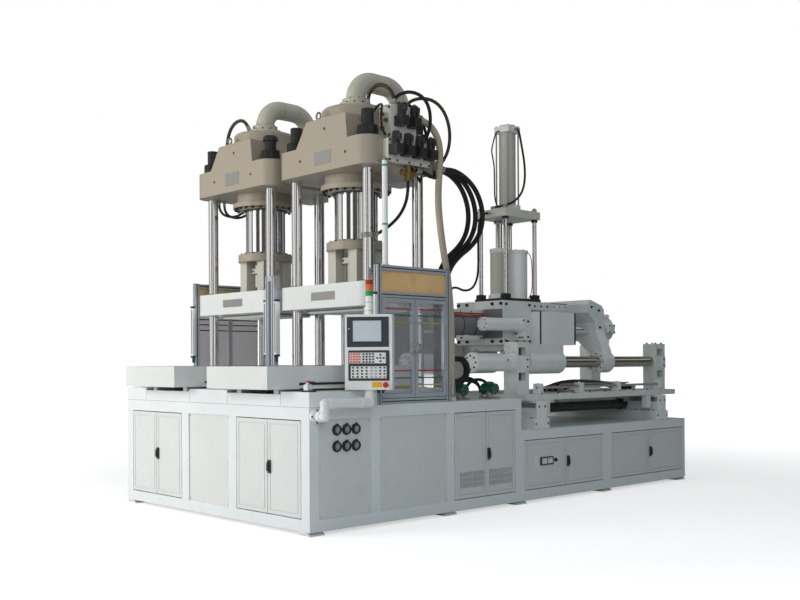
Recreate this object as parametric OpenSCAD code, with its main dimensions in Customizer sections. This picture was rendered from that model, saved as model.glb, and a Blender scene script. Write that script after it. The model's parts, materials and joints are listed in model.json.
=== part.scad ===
// Two-station vertical injection moulding machine, four-column presses on a cabinet base,
// with one horizontal injection unit that shifts sideways between the stations.
// Machine axes: X across the front, Y to the rear, Z up. Base front face at Y = 0, floor at Z = 0.

/* [Base cabinet] */
// Width of the base across the front
base_w = 2500; // [2300:10:2800]
// Depth of the tall front cabinet
base_d = 2225; // [2150:5:2400]
// Height of the tall cabinet's top
base_h = 875; // [800:5:950]
// Length of the whole base, front face to rear end
base_len = 4750; // [4650:10:5000]
// Height of the low rear cabinet's top
rear_h = 610; // [560:5:660]
// Height of the cabinet skirt above the floor
skirt_z = 25; // [15:1:40]
// Depth of the cabinet's frame walls
wall = 50; // [40:1:60]
// Thickness of the cabinet top plates
top_t = 40; // [25:1:60]
// Thickness of the cabinet floor plates
floor_t = 30; // [20:1:45]
// Thickness of the fixed bay panels
panel_t = 10; // [6:1:16]
// Set-back of the fixed bay panels behind the face
panel_set = 10; // [6:1:20]
// Height of the bays' lower edge
bay_z0 = 108; // [90:1:130]
// Height of the cabinet top above the tall bays
bay_top = 88; // [80:1:120]
// Height of the cabinet top above the rear bays
rear_bay_top = 83; // [70:1:110]
// Width of the first post of the rear cabinet
rear_post = 40; // [30:1:60]
// Width of the first rear bay
rear_bay_w = 1100; // [1050:5:1150]
// Width of the post between the rear bays
rear_mid_post = 132; // [110:1:150]
// Width of the first post of the tall cabinet's side
side_front = 82; // [75:1:90]
// Width of the first side bay
side_bay_a = 479; // [450:1:490]
// Width of the post behind the first side bay
side_post_a = 87; // [75:1:95]
// Width of the second side bay
side_bay_b = 694; // [670:1:700]
// Width of the post behind the second side bay
side_post_b = 78; // [70:1:90]
// Width of the last post of the tall cabinet's side
side_post_c = 79; // [60:1:100]
// Margin beside the outer front bays
front_margin = 92; // [75:1:110]
// Width of the front double-door bays
front_door_w = 780; // [740:1:800]
// Width of the posts between the front bays
front_post = 100; // [80:1:120]
// Size of a foot pad
foot_w = 130; // [100:1:140]
// Thickness of a foot pad
foot_t = 8; // [5:1:12]

/* [Doors] */
// Thickness of a door leaf
leaf_t = 18; // [12:1:24]
// Gap around each door leaf
door_gap = 6; // [5:0.5:8]
// Gap between a hinge knuckle and its jamb
knuckle_gap = 0.3; // [0.2:0.05:0.5]
// Length of a hinge knuckle
knuckle_h = 60; // [40:1:80]
// Depth of the outline groove in a leaf
groove_d = 3; // [2:0.5:5]
// Width of the outline groove in a leaf
groove_w = 5; // [3:0.5:8]
// Distance of the outline groove from the leaf's edge
groove_in = 28; // [20:1:40]
// Width of a door lock's body
lock_w = 24; // [16:1:30]
// Height of a door lock's body
lock_h = 90; // [60:1:110]
// Depth of a door lock's body in front of the leaf
lock_d = 14; // [8:1:20]

/* [Bed and tables] */
// Height of the bed beams on the tall cabinet
bed_h = 105; // [90:1:115]
// Width of the outer bed beams
bed_side_w = 323; // [310:1:340]
// Width of the middle bed beam
bed_mid_w = 527; // [500:1:540]
// Depth of the bed beams
bed_d = 1400; // [1380:1:1500]
// Depth of the full-width front part of the outer beams
bed_front_d = 620; // [600:1:625]
// Width of the notch in the outer beams behind the front part
bed_notch_w = 90; // [70:1:110]
// Height of the aprons between the beams
apron_h = 85; // [70:1:95]
// Thickness of the aprons
apron_t = 30; // [20:1:40]
// Gap between a table and the columns beside it
table_gap = 10; // [6:1:30]
// Thickness of a sliding table
table_t = 162; // [140:1:175]
// Length of a sliding table
table_len = 1485; // [1400:5:1500]
// Overhang of a table in front of the base
table_over = 155; // [120:1:180]
// Height of the runners under a table
runner_h = 15; // [12:1:20]
// Width of a table rail and its runner
rail_w = 60; // [50:1:80]
// Distance of a table rail's middle from the table's side
rail_in = 147.5; // [120:0.5:170]

/* [Presses] */
// Gap between the two crossheads
press_gap = 112; // [100:1:130]
// Distance of a crosshead from the base's side
head_side = 94; // [85:1:110]
// Distance of the press centres behind the front face
press_y = 987; // [970:1:1000]
// Column diameter
col_dia = 85; // [75:1:88]
// Column spacing front to rear
col_dy = 513; // [500:1:530]
// Corner radius of crosshead and platen, round each column
corner_r = 120; // [110:1:130]
// Length of the columns between bed and crosshead
col_len = 1655; // [1580:5:1720]
// Thickness of the crosshead slab
head_t = 215; // [190:5:240]
// Height of the hump above the slab
hump_h = 190; // [160:5:210]
// Gap between the hump's left foot and the column nuts
hump_left_gap = 74; // [60:1:90]
// Set-back of the hump's left top behind its foot
hump_left_set = 132; // [90:1:150]
// Gap between the hump's right foot and the column nuts
hump_right_gap = 22; // [15:1:50]
// Set-back of the hump's right top behind its foot
hump_right_set = 20; // [10:1:40]
// Diameter of the main cylinder above the crosshead
drum_dia = 536; // [500:1:550]
// Height of the main cylinder above the crosshead
drum_h = 315; // [260:5:340]
// Edge radius of the main cylinder's top
drum_round = 28; // [15:1:40]
// Diameter of the main cylinder below the crosshead
boss_dia = 490; // [470:1:500]
// Drop of the lower flange below the crosshead
boss_drop = 115; // [95:5:155]
// Diameter of the lower flange
boss_flange_dia = 560; // [540:1:580]
// Thickness of the lower flange
boss_flange_t = 40; // [30:1:60]
// Ram diameter
ram_dia = 340; // [320:1:360]
// Reach of the ram above the crosshead's top
ram_in = 70; // [50:5:80]
// Clearance round the ram inside the cylinder
ram_room = 8; // [6:1:15]
// Running clearance of sliding fits on rods and columns
slide_gap = 0.3; // [0.2:0.05:0.5]
// Fit of the fixed columns in the crosshead
col_fit = 0.3; // [0.1:0.05:0.5]
// Height of the moving platen above the table
mould_open = 440; // [400:1:480]
// Thickness of the moving platen
platen_t = 180; // [160:1:200]
// Thickness of the mould plate under the platen
mould_plate_t = 27; // [20:1:40]
// Width of the mould plate
mould_plate_w = 730; // [680:1:740]
// Depth of the mould plate
mould_plate_d = 400; // [360:1:410]
// Diameter of the ram's flange
ram_flange_dia = 470; // [440:1:500]
// Thickness of the ram's flange
ram_flange_t = 63; // [50:1:80]
// Height of the spacer between platen and ram flange
spacer_h = 278; // [250:1:300]
// Side of a spacer post
spacer_post = 95; // [80:1:105]
// Spacing of the spacer posts across the press
spacer_dx = 250; // [230:1:260]
// Spacing of the spacer posts front to rear
spacer_dy = 200; // [180:1:215]
// Thickness of the ejector plate
eject_t = 45; // [30:1:60]
// Height of the ejector plate above the platen
eject_z = 180; // [120:1:200]
// Diameter of the ejector rod
eject_rod = 70; // [50:1:90]
// Diameter of a column nut
nut_dia = 148; // [130:1:155]
// Height of a column nut
nut_h = 85; // [70:1:100]
// Diameter of a column cap
cap_dia = 96; // [90:1:110]
// Height of a column cap
cap_h = 122; // [100:1:140]

/* [Oil pipes and valves] */
// Diameter of the prefill pipe
pipe_dia = 156; // [140:1:160]
// Bend radius of the prefill pipe
pipe_bend = 170; // [160:1:180]
// Rise of the prefill pipe above the main cylinder
pipe_rise = 251; // [240:1:280]
// Distance of the prefill pipe's drop behind the press centre
pipe_drop = 483; // [470:1:500]
// Diameter of the pipe's lower collar
collar_dia = 290; // [270:1:310]
// Height of the pipe's lower collar
collar_h = 38; // [30:1:50]
// Diameter of the pipe's neck
neck_dia = 215; // [190:1:230]
// Width of the oil block behind the crosshead
oil_block_w = 260; // [240:1:280]
// Depth of the oil block behind the crosshead
oil_block_d = 230; // [210:1:250]
// Height of the oil block
oil_block_h = 190; // [170:1:205]
// Depth of the valve plate on the crosshead's side
valve_plate_d = 430; // [380:1:460]
// Height of the valve plate
valve_plate_h = 170; // [150:1:200]
// Thickness of the valve plate
valve_plate_t = 60; // [40:1:80]
// Side of the valve tower on the crosshead
valve_tower_w = 130; // [110:1:150]
// Height of the valve tower
valve_tower_h = 250; // [220:1:280]
// Side of a valve body
valve_w = 72; // [60:1:80]
// Length of a valve body
valve_len = 90; // [80:1:100]
// Diameter of a valve's solenoid
solenoid_dia = 56; // [45:1:62]
// Height of the valve plate above the crosshead's underside
valve_lift = 20; // [10:1:30]
// Distance of the upper valves from the tower's edges
valve_in = 30; // [20:1:40]
// Diameter of the three pressure hoses
hose_dia = 40; // [32:1:42]
// Distance between neighbouring pressure hoses
hose_step = 43; // [43:1:46]
// Diameter of the return hose
return_dia = 52; // [45:1:54]
// Distance of the middle hose from the crosshead's side
hose_in = 119; // [105:1:130]
// Height of the hoses' upper ends above the crosshead's underside
hose_rise = 65; // [55:1:100]
// Distance of the return hose from the crosshead's side
return_in = 0; // [0:1:10]
// Drop of the return hose's upper end below the valve tower's top
return_drop = 60; // [40:1:70]
// Distance of the return hose's gland behind the others
return_back = 10; // [0:1:40]
// Distance of the hose glands behind the bed
gland_back = 80; // [75:1:120]
// Height of a hose gland on the base
gland_h = 30; // [20:1:40]
// Height of the hose manifold behind the crosshead
manifold_h = 100; // [80:1:120]
// Depth of the hose manifold
manifold_d = 60; // [50:1:60]
// Width of a gland's wall round its hose
gland_wall = 10; // [6:1:12]

/* [Guards] */
// Side of the guard profiles
profile = 40; // [30:1:45]
// Distance of the guards inside the base's sides
guard_in = 15; // [10:1:20]
// Front edge of the side guards
guard_y0 = 640; // [632:1:660]
// Length of the side guards
guard_len = 755; // [750:1:800]
// Height of the side guards
guard_h = 1015; // [980:5:1050]
// Height of the middle rail above the guard's foot
guard_mid_h = 820; // [730:5:860]
// Thickness of the guard sheets
sheet_t = 5; // [4:0.5:8]
// Width of the profile round a gate leaf
gate_profile = 28; // [20:1:32]
// Distance of the middle stand behind the front face
stand_y = 585; // [560:1:600]
// Outer width of the middle stand
stand_w = 116; // [100:1:130]
// Height of the middle stand
stand_h = 897; // [820:1:920]
// Width of a light-curtain strip
strip_w = 26; // [20:1:32]
// Height of the light-curtain strips above the bed
strip_lift = 250; // [200:1:280]
// Length of the light-curtain strips
strip_len = 460; // [400:1:520]

/* [Control panel] */
// Diameter of the panel arm's pipe
arm_dia = 65; // [50:1:70]
// Diameter of the arm's flange
arm_flange_dia = 107; // [95:1:115]
// Thickness of the arm's flange
arm_flange_t = 16; // [10:1:20]
// Diameter of the arm's elbows
elbow_dia = 72; // [66:1:80]
// Reach of the arm beyond the base's side
arm_out = 100; // [95:1:120]
// Distance of the arm's flange behind the front face
arm_y = 55; // [55:1:75]
// Drop of the arm's flange below the base's top
arm_drop = 60; // [60:1:75]
// Rise of the arm's level run above the base's top
arm_rise = 25; // [15:1:30]
// Distance of the panel's pivot behind the front face
pivot_y = 460; // [430:1:470]
// Width of the control panel
cp_w = 335; // [300:1:340]
// Depth of the control panel
cp_d = 100; // [80:1:105]
// Height of the control panel
cp_h = 525; // [480:1:560]
// Gap between the control panel and the bed's top
cp_gap = 10; // [8:1:30]
// Turn of the control panel from the front
cp_turn = 38; // [20:1:60]
// Diameter of the signal lamp
lamp_dia = 52; // [40:1:60]
// Height of each lens of the signal lamp
lens_h = 38; // [30:1:45]
// Height of the signal lamp's foot
lamp_foot_h = 130; // [100:1:150]

/* [Injection unit] */
// Gap between the tall cabinet and the front cross rail
cross_gap = 175; // [150:5:215]
// Distance between the cross rails
cross_span = 1850; // [1800:5:1900]
// Width of a cross rail's foot
cross_foot_w = 200; // [180:1:220]
// Width of a cross rail's head
cross_head_w = 130; // [110:1:150]
// Height of a cross rail's foot
cross_foot_h = 90; // [70:1:110]
// Height of a cross rail
cross_h = 240; // [220:1:250]
// Set-back of the cross rails' ends from the base's sides
cross_in = 10; // [5:1:20]
// Set of the front bar brackets before the front cross rail's middle
tower_front_set = 115; // [100:1:130]
// Set of the rear bar brackets behind the rear cross rail's middle
tower_rear_set = 170; // [150:1:190]
// Depth of a keeper beside the cross rails
keeper_d = 78; // [60:1:90]
// Drop of a keeper below the carriage plate
keeper_drop = 120; // [100:1:140]
// Thickness of the carriage plate
carriage_t = 50; // [40:1:60]
// Reach of the carriage plate beyond the crosshead's width
carriage_over = 60; // [20:1:80]
// Distance of a guide bar from the carriage's side
bar_in = 190; // [180:1:200]
// Guide bar diameter
bar_dia = 103; // [90:1:110]
// Height of the guide bars above the carriage plate
bar_rise = 275; // [260:1:285]
// Width of a bar bracket
tower_w = 150; // [130:1:165]
// Depth of a bar bracket
tower_d = 160; // [150:1:180]
// Height of a bar bracket above its bar
tower_rise = 175; // [145:1:195]
// Depth of a pocket in a bracket's outer face
pocket_d = 60; // [40:1:70]
// Width of a bracket pocket
pocket_w = 100; // [80:1:120]
// Height of a bracket pocket
pocket_h = 68; // [50:1:75]
// Distance of the pockets from a bracket's front face
pocket_in = 22; // [15:1:40]
// Rise of the upper pocket's middle above the bar
pocket_rise = 93; // [88:1:100]
// Drop of the lower pocket's middle below the bar
pocket_drop = 123; // [88:1:130]
// Diameter of the bushing housings
bush_dia = 205; // [180:1:215]
// Length of the bushing housings
bush_len = 480; // [450:5:520]
// Gap between the front brackets and the bushing housings
bush_gap = 10; // [6:1:20]
// Thickness of the seat plate
seat_t = 55; // [45:1:60]
// Height of the seat plate's top above the guide bars
seat_rise = 155; // [150:1:165]
// Height of the barrel's axis above the seat plate
barrel_rise = 170; // [150:1:180]
// Diameter of the barrel cover
barrel_dia = 225; // [200:1:235]
// Reach of the barrel cover before the front brackets
barrel_reach = 435; // [400:5:460]
// Length of the nozzle before the barrel cover
nozzle_len = 300; // [250:5:330]
// Diameter of the nozzle's body
nozzle_dia = 110; // [90:1:130]
// Diameter of the nozzle's tip
tip_dia = 60; // [40:1:70]
// Distance of the feed block from the guide bars
feed_in = 110; // [105:1:130]
// Distance of the feed block behind the brackets' front
feed_back = 45; // [30:1:60]
// Depth of the feed block
feed_d = 375; // [350:1:380]
// Height of the feed block
feed_h = 385; // [360:1:400]
// Depth of the shelf behind the feed block
shelf_d = 275; // [240:5:300]
// Height of the shelf behind the feed block
shelf_h = 75; // [60:1:80]
// Distance of a pull cylinder's middle from the feed block's side
pull_out = 60; // [58:1:70]
// Diameter of the pull cylinders
pull_dia = 110; // [100:1:115]
// Length of the pull cylinders
pull_len = 489; // [450:1:510]
// Distance of a pull cylinder's flange behind the feed block's front
pull_back = 139; // [120:1:160]
// Thickness of a pull cylinder's flange
pull_flange_t = 72; // [60:1:80]
// Height of a pull cylinder's flange above the cylinder's middle
pull_flange_up = 60; // [56:1:70]
// Flange's reach to the outer side of the cylinder's axis
pull_flange_out = 64; // [60:1:75]
// Depth of a pull cylinder's flange below the cylinder's middle
pull_flange_down = 135; // [100:1:150]
// Distance of an injection cylinder's middle from its guide bar
inj_in = 120; // [110:1:130]
// Width of an injection cylinder block
inj_w = 210; // [190:1:220]
// Length of an injection cylinder block
inj_len = 520; // [480:1:540]
// Height of an injection cylinder block
inj_h = 295; // [270:1:310]
// Diameter of the injection rods
inj_rod = 80; // [60:1:100]
// Distance of the drive crosshead behind the brackets' front
drive_back = 1245; // [1200:5:1290]
// Length of the drive crosshead's bar bosses
drive_len = 150; // [145:1:180]
// Thickness of the drive crosshead's web
drive_web = 140; // [110:1:145]
// Height of the drive crosshead's upper lobe above the seat plate
drive_rise = 427; // [400:1:460]
// Height of the drive crosshead's upper lobe
lobe_h = 120; // [90:1:140]
// Reach of the upper lobe before the crosshead's middle
lobe_fore = 185; // [150:1:190]
// Fall of the upper lobe's top to the rear
lobe_fall = 49; // [0:1:70]
// Height of the flare between the lobe and the waist
flare_h = 90; // [70:1:110]
// Set-back of the lobe's upper edges
lobe_set = 40; // [20:1:60]
// Diameter of the drive screw shaft
shaft_dia = 120; // [100:1:130]
// Diameter of the screw shank between drive and feed block
shank_dia = 90; // [70:1:100]
// Diameter of the screw motor
motor_dia = 260; // [230:1:280]
// Length of the screw motor
motor_len = 150; // [130:1:170]
// Distance of the motor behind the drive crosshead
motor_back = 357; // [330:1:380]
// Diameter of the seat cylinders in front of the bars
seat_cyl_dia = 150; // [130:1:160]
// Length of the seat cylinders
seat_cyl_len = 500; // [450:5:520]

/* [Stuffer] */
// Distance of the stuffer's middle behind the feed block's front
stuff_back = 385; // [370:1:400]
// Width of the stuffer's head plate
stuff_w = 370; // [340:1:390]
// Length of the stuffer's head plate
stuff_len = 480; // [450:1:500]
// Height of the stuffer's head plate above the feed block
stuff_h = 760; // [705:5:805]
// Thickness of the stuffer's head plate
stuff_plate_t = 70; // [60:1:90]
// Thickness of the stuffer's foot plate
stuff_foot_t = 32; // [25:1:40]
// Diameter of the stuffer's tie rods
stuff_rod = 38; // [30:1:45]
// Diameter of the stuffer's top cylinder
stuff_cyl_dia = 152; // [140:1:165]
// Height of the top cylinder above the head plate
stuff_cyl_h = 785; // [705:5:835]
// Diameter of the front feed chamber
chamber_a_dia = 160; // [140:1:165]
// Diameter of the rear feed chamber
chamber_b_dia = 225; // [200:1:230]
// Height of the feed chambers
chamber_h = 450; // [400:5:480]
// Set of the rear feed chamber towards the middle
chamber_in = 20; // [10:1:40]
// Diameter of the stuffer's piston rod
piston_dia = 60; // [45:1:70]

/* [Hidden] */
$fn = 64;
eps = 1;
edge_step = 18;
side_x = base_w / 2;
bay_z1 = base_h - bay_top;
rear_bay_z1 = rear_h - rear_bay_top;
bed_z = base_h + bed_h;
head_w = (base_w - press_gap) / 2 - head_side;
head_d = col_dy + 2 * corner_r;
head_y0 = press_y - head_d / 2;
head_y1 = press_y + head_d / 2;
head_z = bed_z + col_len;
head_top = head_z + head_t;
col_dx = head_w - 2 * corner_r;
hump_left_foot = (col_dx - nut_dia) / 2 - hump_left_gap;
hump_left_top = hump_left_foot - hump_left_set;
hump_right_foot = (col_dx - nut_dia) / 2 - hump_right_gap;
hump_right_top = hump_right_foot - hump_right_set;
press_pitch = head_w + press_gap;
press_xs = [-press_pitch / 2, press_pitch / 2];
press_side = press_xs[1] + head_w / 2;
col_xs = [-col_dx / 2, col_dx / 2];
col_ys = [press_y - col_dy / 2, press_y + col_dy / 2];
table_w = col_dx - col_dia - 2 * table_gap;
table_z = bed_z + runner_h;
rail_xs = [rail_in - table_w / 2, table_w / 2 - rail_in];
platen_z = table_z + table_t + mould_open;
platen_top = platen_z + platen_t;
ram_foot = platen_top + spacer_h;
ram_top = head_top + ram_in;
drum_z = head_top + drum_h;
boss_z = head_z - boss_drop;
pipe_z = drum_z + pipe_rise;
front_x0 = -side_x + front_margin;
front_x1 = front_x0 + front_door_w;
front_x2 = front_x1 + front_post;
side_y1 = side_front + side_bay_a;
side_y2 = side_y1 + side_post_a;
side_y3 = side_y2 + side_bay_b;
side_y4 = side_y3 + side_post_b;
side_bays = [[side_front, side_y1], [side_y2, side_y3], [side_y4, base_d - side_post_c]];
rear_mid = base_d + rear_post + rear_bay_w;
rear_bays = [[base_d + rear_post, rear_mid], [rear_mid + rear_mid_post, base_len - wall]];
guard_x = side_x - guard_in - profile;
guard_y1 = guard_y0 + guard_len;
guard_z = base_h + guard_h;
guard_mid_z = base_h + guard_mid_h;
gate_z0 = base_h + profile + door_gap;
gate_z1 = guard_mid_z - profile - door_gap;
gate_leaf_len = (guard_len - 2 * profile - 3 * door_gap) / 2;
stand_z = bed_z + stand_h;
strip_z0 = bed_z + strip_lift;
arm_flange_z = base_h - arm_drop;
arm_z = base_h + arm_rise;
cp_x = side_x + arm_out;
cp_z = bed_z + cp_gap;
lens_z0 = cp_z + cp_h + lamp_foot_h;
unit_x = press_pitch / 2;
cross_z = rear_h + cross_h;
carriage_z = cross_z + slide_gap;
carriage_top = carriage_z + carriage_t;
carriage_w = head_w + carriage_over;
cross_y = base_d + cross_gap + cross_foot_w / 2;
cross_centres = [cross_y, cross_y + cross_span];
bar_dx = carriage_w - 2 * bar_in;
bar_xs = [unit_x - bar_dx / 2, unit_x + bar_dx / 2];
bar_z = cross_z + carriage_t + bar_rise;
tower_z = bar_z + tower_rise;
tower_front_y = cross_centres[0] - tower_front_set;
tower_rear_y = cross_centres[1] + tower_rear_set;
tower_ys = [tower_front_y, tower_rear_y];
bar_y0 = tower_front_y + tower_d;
seat_z = bar_z + seat_rise;
seat_y0 = tower_front_y + tower_d + bush_gap;
seat_y1 = seat_y0 + bush_len;
barrel_y = tower_front_y - barrel_reach;
nozzle_y = barrel_y - nozzle_len;
feed_y = tower_front_y + feed_back;
barrel_z = seat_z + barrel_rise;
feed_w = bar_dx - 2 * feed_in;
feed_top = seat_z + feed_h;
pull_x = feed_w / 2 + pull_out;
pull_y = feed_y + pull_back;
inj_x = bar_dx / 2 - inj_in;
inj_y = feed_y + feed_d;
drive_y = tower_front_y + drive_back;
drive_mid = drive_y + drive_len / 2;
drive_top = seat_z + drive_rise;
motor_y = drive_y + drive_len + motor_back;
stuff_y = feed_y + stuff_back;
stuff_z = feed_top + stuff_h;
stuff_top = stuff_z + stuff_plate_t + stuff_cyl_h;
chamber_z = feed_top + stuff_foot_t;
x_max = cp_x + cp_w / 2 * cos(cp_turn) + cp_d / 2 * sin(cp_turn);
x_mid = (x_max - side_x) / 2;
y_mid = (base_len - table_over) / 2;
hose_x = press_side - hose_in;
hose_y = head_y1 + manifold_d;
hose_z = head_z + hose_rise;
gland_y = bed_d + gland_back;
gland_z = base_h + gland_h;
hose_bulge = [0.92, 1, 1.08];
upper_hose = [[0, 0], [57, 0], [177, 2], [292, -35], [387, -102], [452, -195], [482, -300], [472, -410],
    [422, -510], [337, -595], [237, -665], [152, -745], [97, -840], [72, -950]];
lower_hose = [[5, 715], [2, 575], [0, 435], [0, 295], [0, 145], [0, 0]];
hose_routes = [for (i = [0 : 2]) let (x = hose_x + (i - 1) * hose_step) concat(
    [for (p = upper_hose) [x, hose_y + p[0] * hose_bulge[i], hose_z + p[1]]],
    [for (p = lower_hose) [x, gland_y + p[0], gland_z + p[1]]])];
return_x = press_side - return_in;
return_y = press_y + valve_tower_w;
return_z = head_top + valve_tower_h - return_drop;
upper_return = [[-38, 0, 0], [-38, 33, 0], [-29, 88, -8], [-6, 139, -36], [14, 179, -84], [30, 203, -148],
    [41, 211, -225], [46, 207, -315], [48, 197, -415], [47, 189, -525], [42, 193, -635], [35, 209, -740],
    [26, 233, -840], [16, 263, -945], [7, 295, -1050], [2, 325, -1160]];
lower_return = [[-26, 850], [-10, 715], [-2, 580], [0, 445], [0, 330], [0, 215], [0, 105], [0, 0]];
return_route = concat(
    [for (p = upper_return) [return_x + p[0], return_y + p[1], return_z + p[2]]],
    [for (p = lower_return) [return_x, gland_y + return_back + p[0], gland_z + p[1]]]);
hose_sides = 10;
paint = [0.86, 0.85, 0.80];
grey = [0.66, 0.68, 0.66];
steel = [0.80, 0.80, 0.80];
alu = [0.72, 0.74, 0.75];
dark = [0.12, 0.12, 0.13];

// The last point of a route
function hose_end(route) = route[len(route) - 1];

// A vector made one long
function unit(v) = v / norm(v);

// Direction of a route at one of its points
function route_dir(route, i) = unit(route[min(i + 1, len(route) - 1)] - route[max(i - 1, 0)]);

// A ring of points square to a route that runs near a YZ plane
function route_ring(route, i, dia) =
    let (d = route_dir(route, i), side = unit(cross(d, [1, 0, 0])), flat = cross(side, d))
    [for (k = [0 : hose_sides - 1])
        route[i] + dia / 2 * (cos(k * 360 / hose_sides) * flat + sin(k * 360 / hose_sides) * side)];

// A hose swept along its route
module hose(route, dia) {
    n = len(route);
    points = [for (i = [0 : n - 1]) each route_ring(route, i, dia)];
    walls = [for (i = [0 : n - 2], k = [0 : hose_sides - 1])
        let (a = i * hose_sides + k, b = i * hose_sides + (k + 1) % hose_sides)
        [a, b, b + hose_sides, a + hose_sides]];
    foot = [for (k = [hose_sides - 1 : -1 : 0]) k];
    head = [for (k = [0 : hose_sides - 1]) (n - 1) * hose_sides + k];
    polyhedron(points = points, faces = concat(walls, [foot, head]));
}

// A box between two corners
module box(lo, hi) {
    translate(lo)
        cube(hi - lo);
}

// A round bar along Y
module bar_y(x, z, y0, y1, dia) {
    translate([x, y0, z])
        rotate([-90, 0, 0])
            cylinder(d = dia, h = y1 - y0);
}

// A round bar along Z
module bar_up(x, y, z0, z1, dia) {
    translate([x, y, z0])
        cylinder(d = dia, h = z1 - z0);
}

// A profile in X and Z drawn out along Y
module along_y(y0, y1) {
    translate([0, y1, 0])
        rotate([90, 0, 0])
            linear_extrude(y1 - y0)
                children();
}

// A profile in Y and Z drawn out along X
module along_x(x0, x1) {
    translate([x0, 0, 0])
        rotate([90, 0, 90])
            linear_extrude(x1 - x0)
                children();
}

// A slab with corners rounded about the four column axes
module column_slab(z, t) {
    box([-head_w / 2, press_y - col_dy / 2, z], [head_w / 2, press_y + col_dy / 2, z + t]);
    box([-col_dx / 2, head_y0, z], [col_dx / 2, head_y1, z + t]);
    for (x = col_xs, y = col_ys)
        bar_up(x, y, z, z + t, 2 * corner_r);
}

// Holes for the four columns
module column_holes(z0, z1, gap) {
    for (x = col_xs, y = col_ys)
        bar_up(x, y, z0 - eps, z1 + eps, col_dia + 2 * gap);
}

// A hollow cabinet box with its floor and top
module cabinet(y0, y1, z1) {
    difference() {
        box([-side_x, y0, skirt_z], [side_x, y1, z1]);
        box([-side_x + wall, y0 + wall, skirt_z + floor_t], [side_x - wall, y1 - wall, z1 - top_t]);
        children();
    }
}

// Openings of the side bays, on both sides
module side_openings(bays, z1) {
    for (bay = bays, s = [-1, 1])
        box([s * (side_x - wall / 2) - wall, bay[0], bay_z0], [s * (side_x - wall / 2) + wall, bay[1], z1]);
}

module base_frame() {
    color(paint)
        cabinet(0, base_d, base_h) {
            box([front_x0, -eps, bay_z0], [front_x1, wall + eps, bay_z1]);
            box([front_x2, -eps, bay_z0], [-front_x2, wall + eps, bay_z1]);
            box([-front_x1, -eps, bay_z0], [-front_x0, wall + eps, bay_z1]);
            side_openings(side_bays, bay_z1);
        }
}

module rear_frame() {
    color(paint)
        cabinet(base_d, base_len, rear_h)
            side_openings(rear_bays, rear_bay_z1);
}

// A fixed panel set back in a side bay
module side_panel(s, bay, z1) {
    x = side_x - panel_set - panel_t / 2;
    box([s * x - panel_t / 2, bay[0], bay_z0], [s * x + panel_t / 2, bay[1], z1]);
}

module bay_panels() {
    color(paint) {
        box([front_x2, panel_set, bay_z0], [-front_x2, panel_set + panel_t, bay_z1]);
        side_panel(1, side_bays[0], bay_z1);
        side_panel(1, side_bays[1], bay_z1);
        for (bay = side_bays)
            side_panel(-1, bay, bay_z1);
        for (bay = rear_bays)
            side_panel(-1, bay, rear_bay_z1);
    }
}

module feet() {
    foot_ys = [foot_w / 2, (side_bays[1][1] + side_bays[2][0]) / 2, base_d,
        (rear_bays[0][1] + rear_bays[1][0]) / 2, base_len - foot_w / 2];
    color(paint)
        for (s = [-1, 1], y = foot_ys)
            translate([s * (side_x - foot_w / 2), 0, 0])
                along_y(y - foot_w / 2, y + foot_w / 2)
                    polygon([[-foot_w / 2, 0], [foot_w / 2, 0], [foot_w / 2, foot_t],
                        [foot_w / 4, skirt_z], [-foot_w / 4, skirt_z], [-foot_w / 2, foot_t]]);
}

module bed() {
    color(paint) {
        box([-bed_mid_w / 2, 0, base_h], [bed_mid_w / 2, bed_d, bed_z]);
        for (s = [-1, 1]) {
            inner = side_x - bed_side_w;
            middle = s * (side_x - bed_side_w / 2);
            box([middle - bed_side_w / 2, 0, base_h], [middle + bed_side_w / 2, bed_front_d, bed_z]);
            narrow = s * (inner + (bed_side_w - bed_notch_w) / 2);
            box([narrow - (bed_side_w - bed_notch_w) / 2, bed_front_d, base_h],
                [narrow + (bed_side_w - bed_notch_w) / 2, bed_d, bed_z]);
            slot = s * (inner + bed_mid_w / 2) / 2;
            slot_w = inner - bed_mid_w / 2;
            box([slot - slot_w / 2, 0, base_h], [slot + slot_w / 2, apron_t, base_h + apron_h]);
            for (r = rail_xs)
                translate([s * press_pitch / 2 + r, 0, 0])
                    box([-rail_w / 2, apron_t, base_h], [rail_w / 2, bed_d, bed_z]);
        }
    }
}

// A door leaf, drawn with its hinge edge at X = 0, its outer face at Y = 0 and its foot at Z = 0
module door_leaf(w, h, has_lock) {
    color(paint) {
        difference() {
            box([0, 0, 0], [w, leaf_t, h]);
            difference() {
                box([groove_in, -eps, groove_in], [w - groove_in, groove_d, h - groove_in]);
                box([groove_in + groove_w, -2 * eps, groove_in + groove_w],
                    [w - groove_in - groove_w, groove_d + eps, h - groove_in - groove_w]);
            }
        }
        for (z = [h / 6, h * 5 / 6 - knuckle_h])
            bar_up(0, 0, z, z + knuckle_h, 2 * (door_gap - knuckle_gap));
        if (has_lock)
            box([w - groove_in / 2 - lock_w, -lock_d, h / 2 - lock_h / 2],
                [w - groove_in / 2, 0, h / 2 + lock_h / 2]);
    }
}

// Two leaves fill a bay, drawn in the bay's own frame: the first hinges at X = 0, the second at the far edge
module bay_leaf(bay_w, h, second) {
    w = (bay_w - 3 * door_gap) / 2;
    if (second)
        translate([bay_w - door_gap, 0, door_gap])
            mirror([1, 0, 0])
                door_leaf(w, h - 2 * door_gap, true);
    else
        translate([door_gap, 0, door_gap])
            door_leaf(w, h - 2 * door_gap, false);
}

// A leaf of a front bay
module front_leaf(x0, second) {
    translate([x0, 0, bay_z0])
        bay_leaf(front_door_w, bay_z1 - bay_z0, second);
}

// A leaf of a right-hand side bay
module side_leaf(bay, z1, second) {
    translate([side_x, bay[0], bay_z0])
        rotate([0, 0, 90])
            bay_leaf(bay[1] - bay[0], z1 - bay_z0, second);
}

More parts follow.
